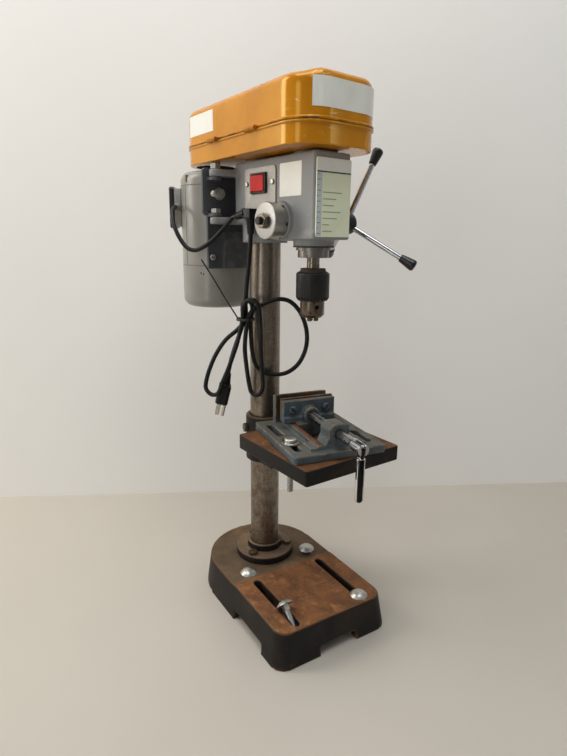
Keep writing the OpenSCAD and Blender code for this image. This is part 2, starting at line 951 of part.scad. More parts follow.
module head_casting() {
    color("#8c8c8a")
        in_head()
            difference() {
                head_block();
                translate([0, 0, -over])
                    cylinder(d = column_d + 2 * run_fit, h = column_grip + over);
                translate([0, -throat, nose_boss_z - over])
                    cylinder(d = quill_d + 2 * run_fit, h = quill_top + 6 - nose_boss_z + over);
                translate([0, -throat, 0])
                    cylinder(d = sleeve_bearing_d, h = floor_z + over);
                translate([-cap_x - over, feed_y, feed_z])
                    rotate([0, 90, 0])
                        cylinder(r = shaft_r + run_fit, h = cap_x + head_w + over);
                translate([-head_w / 2 - over, switch_y - bezel[0] / 2 + 1, switch_z - bezel[1] / 2 + 1])
                    cube([head_w - 12, bezel[0] - 2, bezel[1] - 2]);
                for (z = ear_z)
                    translate([pivot[0], pivot[1], z - over])
                        cylinder(d = pivot_bolt_d, h = ear_t + 2 * over);
                for (z = [9, 23])
                    translate([0, 0, z])
                        rotate([0, 90, 0])
                            cylinder(d = 8, h = boss_r + over);
            }
}

module head_bolts() {
    color("#c4c2ba")
        in_head() {
            translate([pivot[0], pivot[1], ear_z[1] + ear_t])
                hex_bolt(pivot_bolt_d, ear_t + bracket_t, 13, 7);
            translate([pivot[0], pivot[1], ear_z[0] + ear_t + bracket_t + 2 * gap])
                hex_bolt(pivot_bolt_d, ear_t + bracket_t, 13, 6);
            for (z = [9, 23])
                translate([column_d / 2 + run_fit, 0, z])
                    rotate([0, 90, 0])
                        difference() {
                            cylinder(d = 8, h = 12);
                            translate([0, 0, 7])
                                hexagon(4, 6);
                        }
        }
}

module cover_outline(grow) {
    hull() {
        for (side = [-1, 1])
            translate([side * (cover_w / 2 - corner_r), -cover_front + corner_r])
                circle(corner_r + grow, $fn = 48);
        translate([0, cover_rear_y])
            circle(cover_rear_r + grow, $fn = 48);
    }
}

module pulley_housing() {
    color("#d9952c")
        in_head()
            difference() {
                union() {
                    translate([0, 0, floor_z])
                        linear_extrude(housing_h)
                            cover_outline(0);
                    translate([0, 0, seam_z - lip_t])
                        linear_extrude(lip_t)
                            cover_outline(lip_out);
                }
                translate([0, 0, floor_z + sheet_t])
                    linear_extrude(housing_h)
                        cover_outline(-sheet_t);
                translate([0, -throat, floor_z - over])
                    cylinder(d = sleeve_bearing_d, h = housing_h);
                translate([motor_x, motor_y, floor_z - over])
                    cylinder(d = 60, h = housing_h);
            }
}

module lid_solid(grow) {
    hull() {
        translate([0, 0, lid_z])
            linear_extrude(lid_h - 9)
                cover_outline(grow);
        translate([0, 0, lid_z + lid_h - 2.6])
            linear_extrude(0.1)
                cover_outline(grow - 2.6);
        translate([0, 0, lid_z + lid_h - 0.1 + grow])
            linear_extrude(0.1)
                cover_outline(grow - 9);
    }
    hull() {
        translate([-hump_w / 2, -cover_front + 10, lid_z + lid_h - 4])
            cube([hump_w, cover_front - hump_y, 1]);
        translate([-hump_w / 2 + 10, -cover_front + 16, lid_z + lid_h + hump_h - 1 + grow])
            cube([hump_w - 20, cover_front - hump_y - 18, 1]);
    }
}

module pulley_lid() {
    color("#e0a032")
        in_head()
            difference() {
                union() {
                    lid_solid(0);
                    translate([0, 0, lid_z])
                        linear_extrude(lip_t)
                            cover_outline(lip_out);
                }
                lid_solid(-sheet_t);
                translate([0, 0, lid_z - over])
                    linear_extrude(2 * over)
                        cover_outline(-sheet_t);
            }
}

// The cover's straight left side, from its front corner backwards
module at_side() {
    in_head()
        translate([side_from[0], side_from[1], 0])
            rotate([0, 0, side_angle])
                children();
}

// Half of each lid hinge: its knuckles, by thirds of its length, each with a leaf
module hinge_half(shares, leaf_z) {
    knuckle = hinge_l / 3;
    for (y = hinge_y)
        for (s = shares)
            translate([hinge_x, y - hinge_l / 2 + s * knuckle + gap / 2, seam_z + gap / 2])
                difference() {
                    union() {
                        rotate([-90, 0, 0])
                            cylinder(d = hinge_knuckle_d, h = knuckle - gap);
                        translate([0, 0, leaf_z])
                            cube([hinge_knuckle_d / 2, knuckle - gap, 2]);
                    }
                    translate([0, -over, 0])
                        rotate([-90, 0, 0])
                            cylinder(d = hinge_pin_d + 2 * run_fit, h = hinge_l);
                }
}

module housing_hinges() {
    color("#b97d22")
        at_side() {
            hinge_half([0, 2], -hinge_knuckle_d / 2);
            for (y = hinge_y)
                translate([hinge_x, y - hinge_l / 2, seam_z + gap / 2])
                    rotate([-90, 0, 0])
                        cylinder(d = hinge_pin_d, h = hinge_l);
        }
}

module lid_hinges() {
    color("#c98a28")
        at_side()
            hinge_half([1], hinge_knuckle_d / 2 - 2);
}

// Switch and its plate on the left side of the head
module switch_plate() {
    side = head_w / 2;
    color("#b9b7b0")
        in_head()
            difference() {
                translate([-side - plate_t, plate_y[0], plate_z[0]])
                    cube([plate_t, plate_y[1] - plate_y[0], plate_z[1] - plate_z[0]]);
                translate([-cap_x, feed_y, feed_z])
                    rotate([0, 90, 0])
                        cylinder(d = cap_d + 8, h = cap_x);
                translate([-side - 2 * plate_t, switch_y - bezel[0] / 2 + 1, switch_z - bezel[1] / 2 + 1])
                    cube([4 * plate_t, bezel[0] - 2, bezel[1] - 2]);
            }
}

module switch_plate_screws() {
    side = head_w / 2 + plate_t;
    color("#d0cec8")
        in_head()
            for (y = [plate_y[0] + 6, plate_y[1] - 6])
                translate([-side, y, switch_z])
                    rotate([0, -90, 0])
                        rounded_puck(7, 2.4, 1.2);
}

module switch_body() {
    side = head_w / 2 + plate_t;
    color("#1c1c1c")
        in_head()
            difference() {
                union() {
                    translate([-side - bezel_t, switch_y - bezel[0] / 2, switch_z - bezel[1] / 2])
                        cube([bezel_t, bezel[0], bezel[1]]);
                    translate([-side, switch_y - bezel[0] / 2 + 2, switch_z - bezel[1] / 2 + 2])
                        cube([switch_deep, bezel[0] - 4, bezel[1] - 4]);
                }
                translate([-side - 2 * bezel_t, switch_y - rocker[0] / 2 - 2, switch_z - rocker[1] / 2 - gap])
                    cube([2 * bezel_t + 9, rocker[0] + 4, rocker[1] + 2 * gap]);
            }
}

module switch_rocker() {
    side = head_w / 2 + plate_t;
    color("#cf2a1f")
        in_head()
            translate([-side, switch_y, switch_z - rocker[1] / 2])
                rotate([0, 0, rocker_tilt])
                    linear_extrude(rocker[1])
                        polygon([
                            [-rocker_t - 1, -rocker[0] / 2], [-rocker_t + 1, 0], [-rocker_t - 1, rocker[0] / 2],
                            [2, rocker[0] / 2], [5, 0], [2, -rocker[0] / 2]
                        ]);
}

// Feed: pinion shaft, hub, spokes, knobs, and the return spring in its cap
module pinion_profile() {
    root = pinion_r - tooth_deep;
    wide = 0.40 * pitch;
    tip = 0.12 * pitch;
    circle(root);
    for (k = [0 : pinion_teeth - 1])
        rotate([0, 0, 360 * (k + 0.5) / pinion_teeth - 90])
            polygon([
                [root - 1, -wide / 1.5], [pinion_r, -wide / 2], [shaft_r, -tip],
                [shaft_r, tip], [pinion_r, wide / 2], [root - 1, wide / 1.5]
            ]);
}

module pinion_shaft() {
    left = cap_x - 1;
    color("#8e8e8c")
        at_feed() {
            translate([0, 0, -pinion_w / 2])
                linear_extrude(pinion_w)
                    pinion_profile();
            translate([0, 0, -left])
                cylinder(r = shaft_r, h = left - pinion_w / 2);
            translate([0, 0, pinion_w / 2])
                cylinder(r = shaft_r, h = hub_x - pinion_w / 2);
            translate([0, 0, -cap_x - cap_l - 12])
                cylinder(d = shaft_end_d, h = cap_l + 13);
        }
}

module spring_cap() {
    color("#c8c6c0")
        in_head()
            translate([-cap_x, feed_y, feed_z])
                rotate([0, -90, 0])
                    difference() {
                        rounded_puck(cap_d, cap_l, 1.5);
                        translate([0, 0, -over])
                            cylinder(d = cap_d - 2 * cap_wall, h = cap_l - cap_wall + over);
                        cylinder(d = shaft_end_d + 2 * run_fit, h = cap_l + over);
                        for (a = [20 : 60 : 320])
                            rotate([0, 0, a])
                                translate([0, -2, -over])
                                    cube([cap_d, 4, 4 + over]);
                    }
}

// A flat strip wound outwards from the shaft to the cap
module return_spring() {
    turns = 4;
    inner = shaft_end_d / 2 + 1.5;
    outer = cap_d / 2 - cap_wall - 1;
    strip = 0.8;
    steps = 24 * turns;
    function spiral(k, off) = let (r = inner + (outer - inner) * k / steps + off, a = 15 * k)
        [r * cos(a), r * sin(a)];
    color("#5a5f66")
        in_head()
            translate([-cap_x - 4, feed_y, feed_z])
                rotate([0, -90, 0])
                    linear_extrude(cap_l - 8)
                        polygon(concat(
                            [for (k = [0 : steps]) spiral(k, 0)],
                            [for (k = [steps : -1 : 0]) spiral(k, strip)]
                        ));
}

module spring_nuts() {
    color("#4e4c48")
        at_feed()
            for (k = [0, 1])
                translate([0, 0, -cap_x - cap_l - gap - (k + 1) * nut_t - k * 0.2])
                    rotate([0, 0, 20 * k])
                        difference() {
                            hexagon(17, nut_t);
                            translate([0, 0, -over])
                                cylinder(d = shaft_end_d, h = nut_t + 2 * over);
                        }
}

module feed_hub() {
    color("#1e1e1e")
        at_feed()
            translate([0, 0, hub_x])
                difference() {
                    rounded_puck(hub_d, hub_l, 5);
                    for (a = spoke_angles)
                        spoke_place(a)
                            cylinder(d = spoke_d, h = hub_d);
                }
}

// From the hub's middle outwards along one spoke
module spoke_place(a) {
    translate([0, 0, hub_l / 2])
        rotate([0, 0, a + 90])
            rotate([0, 90 - atan2(knob_out, knob_reach), 0])
                translate([0, 0, 8])
                    children();
}

module feed_spokes() {
    reach = norm([knob_out, knob_reach]) - knob_l / 2 - 8;
    color("#cfcfcd")
        at_feed()
            translate([0, 0, hub_x])
                for (a = spoke_angles)
                    spoke_place(a)
                        cylinder(d = spoke_d, h = reach + 2);
}

module feed_knobs() {
    start = norm([knob_out, knob_reach]) - knob_l / 2 - 8;
    color("#161616")
        at_feed()
            translate([0, 0, hub_x])
                for (a = spoke_angles)
                    spoke_place(a)
                        translate([0, 0, start])
                            difference() {
                                union() {
                                    cylinder(d1 = knob_d - 5, d2 = knob_d, h = knob_l - 5);
                                    translate([0, 0, knob_l - 5])
                                        rounded_puck(knob_d, 5, 4);
                                }
                                translate([0, 0, -over])
                                    cylinder(d = spoke_d, h = 2 + over);
                            }
}

// Quill with its rack, spindle, bearings and chuck
module rack_cut() {
    wide = 0.40 * pitch;
    tip = 0.12 * pitch;
    count = ceil((quill_travel + 16) / pitch);
    z0 = feed_z - 2.5 * pitch;
    difference() {
        translate([-quill_d, rack_r - tooth_deep, z0])
            cube([2 * quill_d, quill_d, count * pitch]);
        for (k = [0 : count - 1])
            translate([-quill_d, 0, z0 + (k + 0.5) * pitch])
                rotate([90, 0, 90])
                    linear_extrude(2 * quill_d)
                        polygon([
                            [rack_r - tooth_deep - over, -wide / 1.5], [rack_r, -wide / 2],
                            [quill_d / 2 + over, -tip], [quill_d / 2 + over, tip],
                            [rack_r, wide / 2], [rack_r - tooth_deep - over, wide / 1.5]
                        ]);
    }
}

module quill() {
    color("#9a968e")
        at_spindle()
            difference() {
                union() {
                    translate([0, 0, quill_z])
                        cylinder(d = quill_d, h = quill_l);
                    translate([0, 0, quill_z - quill_collar_h])
                        rounded_puck(quill_collar_d, quill_collar_h, 0.8);
                }
                translate([0, 0, quill_z - quill_collar_h - over])
                    cylinder(d = quill_bore, h = quill_l + quill_collar_h + 2 * over);
                translate([0, 0, quill_z - quill_collar_h + 3])
                    cylinder(d = bearing_d, h = bearing_h);
                translate([0, 0, quill_top - bearing_h])
                    cylinder(d = bearing_d, h = bearing_h + over);
                rack_cut();
            }
}

module spindle_bearings() {
    color("#b8bcc0")
        at_spindle()
            for (z = [quill_z - quill_collar_h + 3, quill_top - bearing_h])
                translate([0, 0, z])
                    ring(bearing_d, spindle_d + 2 * run_fit, bearing_h);
}

module spindle() {
    color("#a9a49a")
        at_spindle() {
            translate([0, 0, chuck_top - 26])
                cylinder(d = spindle_d - 3, h = 30);
            translate([0, 0, chuck_top])
                cylinder(d = spindle_d, h = quill_top - chuck_top);
            translate([0, 0, quill_top])
                cylinder(d = spline_d, h = spindle_top - quill_top);
        }
}

// One jaw's axis, at its tip, leaning outwards as it rises
module jaw_place(k) {
    at_spindle()
        rotate([0, 0, 30 + chuck_turn + 120 * k])
            translate([grip_d / 2 + jaw_d / 2 - jaw_bite, 0, chuck_low - jaw_out])
                rotate([0, jaw_tilt, 0])
                    children();
}

module chuck_body() {
    core_d = chuck_body_d + 1;
    color("#8f857a")
        difference() {
            at_spindle()
                difference() {
                    union() {
                        translate([0, 0, chuck_low])
                            cylinder(d1 = chuck_body_d - 2 * chuck_bevel, d2 = chuck_body_d, h = chuck_bevel);
                        translate([0, 0, chuck_low + chuck_bevel])
                            cylinder(d = chuck_body_d, h = sleeve_low - chuck_low - chuck_bevel);
                        translate([0, 0, sleeve_low])
                            cylinder(d = core_d, h = chuck_top - sleeve_low);
                        translate([0, 0, chuck_top - chuck_shoulder])
                            cylinder(d1 = chuck_d - 4, d2 = chuck_neck_d, h = chuck_shoulder);
                    }
                    translate([0, 0, chuck_top - 26])
                        cylinder(d = spindle_d - 3, h = 26 + over);
                    translate([0, 0, chuck_low - over])
                        cylinder(d = shank_bore, h = 33);
                    for (k = [0 : 2])
                        rotate([0, 0, 90 + chuck_turn + 120 * k])
                            translate([0, 0, chuck_low + 15])
                                rotate([0, 90, 0])
                                    cylinder(d = 6, h = chuck_d);
                }
            for (k = [0 : 2])
                jaw_place(k)
                    translate([0, 0, -jaw_d])
                        cylinder(d = jaw_d + 2 * gap, h = jaw_len + jaw_travel + jaw_d + 2);
        }
}

module chuck_sleeve() {
    bore_d = chuck_body_d + 1 + 2 * gap;
    teeth = 30;
    color("#2c2826")
        at_spindle()
            translate([0, 0, sleeve_low])
                difference() {
                    union() {
                        translate([0, 0, 4])
                            rounded_puck(chuck_d, chuck_sleeve_h - 4, 2.5);
                        cylinder(d1 = chuck_d - 5, d2 = chuck_d, h = 4);
                    }
                    translate([0, 0, -over])
                        cylinder(d = bore_d, h = chuck_sleeve_h + 2 * over);
                    for (k = [0 : teeth - 1])
                        rotate([0, 0, 360 * k / teeth])
                            translate([chuck_d / 2 - 2.2, -0.9, -over])
                                cube([5, 1.8, 5 + over]);
                }
}

module chuck_jaw(k) {
    color("#9b948a")
        difference() {
            jaw_place(k)
                translate([0, 0, -2])
                    cylinder(d = jaw_d, h = jaw_len + 2);
            at_spindle() {
                translate([0, 0, chuck_low - jaw_out - 2 * jaw_d])
                    cylinder(d = 4 * jaw_d, h = 2 * jaw_d);
                translate([0, 0, chuck_low - 2 * jaw_d])
                    cylinder(d = grip_d, h = 2 * jaw_len);
            }
        }
}

module chuck_jaw_1() {
    chuck_jaw(0);
}

module chuck_jaw_2() {
    chuck_jaw(1);
}

module chuck_jaw_3() {
    chuck_jaw(2);
}

// Pulleys, belt and the bearing of the pulley sleeve
module step_pulley(steps, bore) {
    difference() {
        union() {
            cylinder(d = min(steps) - 2 * groove_t, h = len(steps) * step_h);
            for (k = [0 : len(steps) - 1])
                translate([0, 0, k * step_h])
                    groove_step(steps[k]);
        }
        translate([0, 0, -over])
            cylinder(d = bore, h = len(steps) * step_h + 2 * over);
    }
}

module groove_step(d) {
    rotate_extrude()
        polygon([
            [0, 0], [d / 2, 0], [d / 2, (step_h - groove_t - 2) / 2],
            [d / 2 - groove_t, step_h / 2 - 2], [d / 2 - groove_t, step_h / 2 + 2],
            [d / 2, step_h - (step_h - groove_t - 2) / 2], [d / 2, step_h], [0, step_h]
        ]);
}

module spindle_pulley() {
    color("#aab0b2")
        at_spindle()
            difference() {
                union() {
                    translate([0, 0, pulley_z])
                        step_pulley(spindle_steps, sleeve_d - 4);
                    translate([0, 0, head_top - sleeve_bearing_h - 4])
                        cylinder(d = sleeve_d, h = pulley_z - head_top + sleeve_bearing_h + 4);
                }
                translate([0, 0, head_top - sleeve_bearing_h - 4 - over])
                    cylinder(d = spline_d + 2 * run_fit, h = 200);
            }
}

module pulley_bearing() {
    color("#b8bcc0")
        at_spindle()
            translate([0, 0, head_top - sleeve_bearing_h])
                ring(sleeve_bearing_d, sleeve_d + 2 * run_fit, sleeve_bearing_h);
}

module belt_loop(inset) {
    hull() {
        translate([0, -throat])
            circle(spindle_steps[belt_step] / 2 - inset, $fn = 48);
        translate([motor_x, motor_y])
            circle(motor_steps[belt_step] / 2 - inset, $fn = 48);
    }
}

module v_belt() {
    color("#23211f")
        in_head()
            translate([0, 0, pulley_z + (belt_step + 0.5) * step_h - 2])
                linear_extrude(4)
                    difference() {
                        belt_loop(1);
                        belt_loop(1 + belt_t);
                    }
}

// Motor, its swinging bracket and the junction box
module motor_bracket() {
    upper_w = upper_plate_x[1] - upper_plate_x[0];
    upper_h = bracket_z_range[1] - upper_plate_z;
    color("#202020")
        in_head()
            difference() {
                union() {
                    translate([bracket_x[0], plate_face, bracket_z_range[0]])
                        cube([bracket_x[1] - bracket_x[0], bracket_t, upper_plate_z + 8 - bracket_z_range[0]]);
                    translate([upper_plate_x[0] + upper_w / 2, plate_face, upper_plate_z + upper_h / 2])
                        rotate([-90, 0, 0])
                            linear_extrude(bracket_t)
                                rounded_box_2d(upper_w, upper_h, 6);
                    for (z = [ear_z[0] + ear_t + gap, ear_z[1] - gap - bracket_t])
                        bracket_tab(z);
                    translate([rib_x[0], plate_face - rib_t, bracket_z_range[0]])
                        cube([rib_x[1] - rib_x[0], rib_t + over, rib_h]);
                    translate([motor_x - 22, plate_face + bracket_t - over, -28])
                        cube([44, motor_y - plate_face - bracket_t - motor_d / 2 + 4, 104]);
                }
                for (z = [ear_z[0], ear_z[1] - gap - bracket_t])
                    translate([pivot[0], pivot[1], z - over])
                        cylinder(d = pivot_bolt_d + 2 * run_fit, h = 4 * bracket_t);
                translate([motor_x, motor_y, bracket_z_range[0] - over])
                    cylinder(d = motor_d, h = 200);
                translate([clamp_bolt[0] - 3, plate_face - over, clamp_bolt[1]])
                    rotate([-90, 0, 0])
                        linear_extrude(bracket_t + 2 * over)
                            rotate([0, 0, 90])
                                slot_2d(clamp_bolt_d + 2 * bolt_gap, 22);
                for (side = [-1, 1])
                    translate([side * plate_screw[0], plate_face - over, plate_screw[1]])
                        rotate([-90, 0, 0])
                            cylinder(d = 5 + 2 * bolt_gap, h = bracket_t + 2 * over);
            }
}

module bracket_tab(z) {
    translate([pivot[0], pivot[1], z])
        cylinder(r = ear_r - 1, h = bracket_t);
    translate([pivot[0] - ear_r + 1, pivot[1], z])
        cube([2 * ear_r - 2, plate_face - pivot[1] + over, bracket_t]);
}

module motor_bolts() {
    nut_y = bracket_t + 6.5;
    color("#9b9a96")
        in_head() {
            translate([clamp_bolt[0], plate_face, clamp_bolt[1]])
                rotate([90, 0, 0]) {
                    rounded_puck(18, 2, 0.8);
                    translate([0, 0, 2])
                        hex_bolt(clamp_bolt_d, nut_y + 4, 13, 5.5);
                    translate([0, 0, -nut_y])
                        hexagon(13, nut_y - bracket_t);
                }
            for (side = [-1, 1])
                translate([side * plate_screw[0], plate_face, plate_screw[1]])
                    rotate([90, 0, 0])
                        slotted_screw(5, bracket_t + 3, 9.5, 3.5);
        }
}

module motor_shell() {
    color("#85807a")
        at_motor()
            translate([0, 0, motor_z])
                ring(motor_d, motor_d - 2 * shell_wall, motor_l);
}

module motor_end_bells() {
    bore = shaft_d + 2 * run_fit;
    color("#88837c")
        at_motor() {
            translate([0, 0, motor_z])
                mirror([0, 0, 1])
                    end_bell(bell_low, bore, bell_low - 12);
            translate([0, 0, motor_z + motor_l])
                end_bell(bell_high, bore, bell_high + over);
        }
}

module end_bell(h, bore, deep) {
    difference() {
        union() {
            difference() {
                rounded_puck(motor_d, h, bell_round);
                translate([0, 0, -over])
                    rounded_puck(motor_d - 2 * bell_wall, h - bell_wall + over, bell_round - bell_wall);
            }
            translate([0, 0, bell_wall])
                cylinder(d = 40, h = h - bell_wall - 1);
        }
        translate([0, 0, -over])
            cylinder(d = bore, h = deep + over);
    }
}

module stator() {
    color("#a5642c")
        at_motor()
            translate([0, 0, motor_z + 20])
                ring(motor_d - 2 * shell_wall, rotor_d + 2, motor_l - 40);
}

module motor_rotor() {
    color("#9ea2a6")
        at_motor() {
            translate([0, 0, motor_z + 22])
                cylinder(d = rotor_d, h = motor_l - 44);
            translate([0, 0, motor_z - bell_low + 14])
                cylinder(d = shaft_d, h = shaft_top - motor_z + bell_low - 14);
        }
}

module motor_pulley() {
    color("#aab0b2")
        at_motor()
            translate([0, 0, pulley_z])
                step_pulley(motor_steps, shaft_d);
}

module at_box() {
    at_motor()
        rotate([0, 0, box_angle])
            translate([motor_d / 2, 0, box_z])
                children();
}

module junction_box() {
    root = 8;
    color("#7c7873")
        difference() {
            at_box() {
                translate([-root, -box[1] / 2, -box[2] / 2])
                    cube([box[0] + root, box[1], box[2]]);
                translate([box_gland_x, box[1] / 2 - over, 0])
                    rotate([-90, 0, 0])
                        cylinder(d1 = box_gland_d, d2 = gland_tip_d, h = box_gland_l + over);
            }
            at_motor()
                translate([0, 0, box_z - box[2]])
                    cylinder(d = motor_d, h = 2 * box[2]);
            at_box()
                translate([3, -box[1] / 2 + 3, -box[2] / 2 + 3])
                    cube([box[0], box[1] - 6, box[2] - 6]);
        }
}

module junction_cover() {
    color("#191919")
        at_box()
            translate([box[0], 0, 0])
                rotate([0, 90, 0])
                    linear_extrude(box_cover_t)
                        rounded_box_2d(box[2] + 5, box[1] + 5, 5);
}

// Gland, leads, plug and tie
module cord_gland() {
    way = lead_gland[1] - lead_gland[0];
    color("#151515")
        in_head() {
            translate([-head_w / 2 - plate_t - 13, cord_gland_top[1] - 8, cord_gland_top[2]])
                cube([13, 18, 13]);
            translate(lead_gland[0])
                along(way)
                    cylinder(d1 = gland_d, d2 = gland_tip_d, h = norm(way));
            translate(cord_gland_top + [0, 0, -gland_l])
                cylinder(d1 = gland_tip_d, d2 = gland_d, h = gland_l);
        }
}

module motor_lead() {
    color("#1a1a1a")
        in_head()
            tube_along(lead_route, cord_d, tube_sides);
}

module power_cord() {
    echo(least_cord_gap = least_gap(smooth(cord_route, gap_steps), cord_d, 8));
    color("#1a1a1a")
        in_head()
            tube_along(cord_route, cord_d, tube_sides);
}

module cord_tie() {
    color("#0f0f0f")
        in_head() {
            translate(tie_mid - [0, 0, tie_h / 2])
                ring(tie_bore + 2 * tie_t, tie_bore, tie_h);
            tube_along(tail_route, tail_d, 6);
        }
}

module at_plug() {
    in_head()
        translate(cord_route[len(cord_route) - 1])
            along(plug_way)
                children();
}

module plug() {
    color("#141414")
        at_plug() {
            cylinder(d1 = gland_tip_d, d2 = gland_d + 2, h = plug_relief);
            translate([0, 0, plug_relief])
                linear_extrude(plug_body_l)
                    rounded_box_2d(plug_size[1], plug_size[0], 5);
        }
}

module plug_blades() {
    color("#c9c5b8")
        at_plug()
            translate([0, 0, plug_relief + plug_body_l]) {
                for (side = [-1, 1])
                    translate([-6, side * 6.35 - 0.75, 0])
                        cube([6.3, 1.5, blade_l]);
                translate([6, 0, 0])
                    cylinder(d = 4.8, h = blade_l + 2);
            }
}

base();
base_bolts();
column_flange();
flange_bolts();
column();
table_bracket();
table_bolts();
table();
vise_body();
vise_fixed_plate();
vise_hold_downs();
vise_moving_jaw();
vise_moving_plate();
vise_jaw_screws();
vise_screw();
vise_handle();
head_casting();
head_bolts();
pulley_housing();
housing_hinges();
switch_plate();
switch_plate_screws();
switch_body();
switch_rocker();
spring_cap();
return_spring();
pulley_bearing();
v_belt();
cord_gland();
motor_lead();
power_cord();
plug();
plug_blades();
cord_tie();
quill();
spindle_bearings();
spindle();
chuck_body();
chuck_sleeve();
chuck_jaw_1();
chuck_jaw_2();
chuck_jaw_3();
pinion_shaft();
feed_hub();
feed_spokes();
feed_knobs();
spring_nuts();
pulley_lid();
lid_hinges();
spindle_pulley();
motor_bracket();
motor_shell();
motor_end_bells();
stator();
junction_box();
junction_cover();
motor_bolts();
motor_rotor();
motor_pulley();
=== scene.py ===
"""Finishes a worn benchtop drill press: enamel, rust, steel, leads and a plain studio."""

import json
from math import asin, atan2, cos, pi, radians, sin

import bmesh
import bpy
from bpy.props import FloatProperty, FloatVectorProperty, PointerProperty
from mathutils import Matrix, Vector

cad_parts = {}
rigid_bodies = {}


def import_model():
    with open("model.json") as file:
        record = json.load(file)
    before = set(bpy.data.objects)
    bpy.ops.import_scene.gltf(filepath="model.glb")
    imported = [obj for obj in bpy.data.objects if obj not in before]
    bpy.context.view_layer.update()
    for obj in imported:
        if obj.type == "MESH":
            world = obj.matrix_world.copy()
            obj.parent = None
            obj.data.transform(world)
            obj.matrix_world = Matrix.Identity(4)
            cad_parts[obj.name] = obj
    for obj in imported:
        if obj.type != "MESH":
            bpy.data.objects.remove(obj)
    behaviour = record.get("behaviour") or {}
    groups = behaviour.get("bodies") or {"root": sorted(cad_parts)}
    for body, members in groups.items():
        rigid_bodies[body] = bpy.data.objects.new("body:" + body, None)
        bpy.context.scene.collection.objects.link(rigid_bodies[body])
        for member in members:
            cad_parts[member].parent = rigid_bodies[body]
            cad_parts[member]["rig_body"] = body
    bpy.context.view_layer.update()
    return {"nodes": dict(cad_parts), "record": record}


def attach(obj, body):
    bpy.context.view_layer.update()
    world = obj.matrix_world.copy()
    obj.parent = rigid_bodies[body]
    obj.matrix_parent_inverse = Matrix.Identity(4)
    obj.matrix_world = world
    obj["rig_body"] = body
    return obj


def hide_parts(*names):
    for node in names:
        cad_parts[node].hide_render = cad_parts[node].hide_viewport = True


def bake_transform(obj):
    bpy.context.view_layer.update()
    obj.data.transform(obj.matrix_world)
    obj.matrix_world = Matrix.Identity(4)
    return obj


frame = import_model()

bl_info = {
    "name": "Benchtop drill press",
    "version": (1, 0, 0),
    "blender": (4, 5, 0),
    "location": "3D View > Sidebar > Drill press",
    "description": "Builds the finished pieces of a benchtop drill press around its solids",
    "category": "Object",
}

SLOT_OF = {s["node"]: s["material_slot"] for s in frame["record"]["subparts"]}
MM = 0.001

# Edges that turn more than this many degrees are sharp on machined pieces
SHARP = 34

# The head stands on the column, turned a little; places on the head are given in its own frame
HEAD_Z = 0.558
HEAD_TURN = radians(6)
TO_HEAD = Matrix.Translation((0, 0, HEAD_Z)) @ Matrix.Rotation(HEAD_TURN, 4, "Z")
SPINDLE_AT = (0, -0.109)
NOSE_LOW = -0.0035
COLLAR_TOP = -0.006
MOTOR_AT = (-0.010, 0.119)
MOTOR_R = 0.056
BELT_BENDS = (-0.045, 0.075)

# The front panel's corners in x and z, what is printed on it, and the plate on the head's left side
FRONT_Y = -0.144
PANEL_T = 0.0013
PANEL_LO, PANEL_HI = (-0.0285, 0.0085), (0.0285, 0.102)
RULE_Z = 0.0848
MARK_FIRST_Z, MARK_STEP = 0.0125, 0.00635
ROW_X, ROW_FIRST_Z, ROW_STEP = -0.018, 0.0612, 0.0077
ROW_LENGTHS = (0.031, 0.022, 0.018, 0.030, 0.024, 0.011, 0.016)
SIDE_X = -0.030

# The cover's outline: two front corners and a round rear end
COVER_W = 0.134
COVER_FRONT = 0.165
CORNER_R = 0.042
REAR_Y = 0.107
REAR_R = 0.054
SEAM_Z = 0.139
SEAM_GAP = 0.0004
LIP_OUT = 0.002
LIP_T = 0.003
HUMP_HALF = 0.046
HUMP_BACK = -0.060
SIDE_TURN = 176.77

# Where a finish changes: the base's machined pad, the table's top, the chuck's shoulder, a bolt's thread
PAD_Z, PAD_BACK = 0.0522, -0.064
TABLE_TOP = 0.2902
CHUCK_SHOULDER = 0.5202
BOLT_THREAD_FROM = -0.300
SCUFF_AT, SCUFF_REACH = (-0.024, -0.170, 0.720), 0.055

# The vise's screw: its direction, a point of its axis, and where its thread starts along it; then the rails
VISE_ALONG = (0.165048, 0.986286, 0)
VISE_ACROSS = (0.986286, -0.165048, 0)
VISE_AT = (0.007152, -0.133312, 0.322)
VISE_THREAD_FROM = -0.172
# The two sides of the handle's chrome that get a painted dark reflection face along this way
HANDLE_REFLECTION_WAY = (-0.53, -0.85, 0)
WAYS_HALF = 0.0305
WAYS_TOP = 0.310

# How sharp an edge is worn, on machined pieces and on castings
EDGE_WEAR = (0.53, 0.62)
BASE_WEAR = (0.507, 0.54)
VISE_WEAR = (0.507, 0.535)

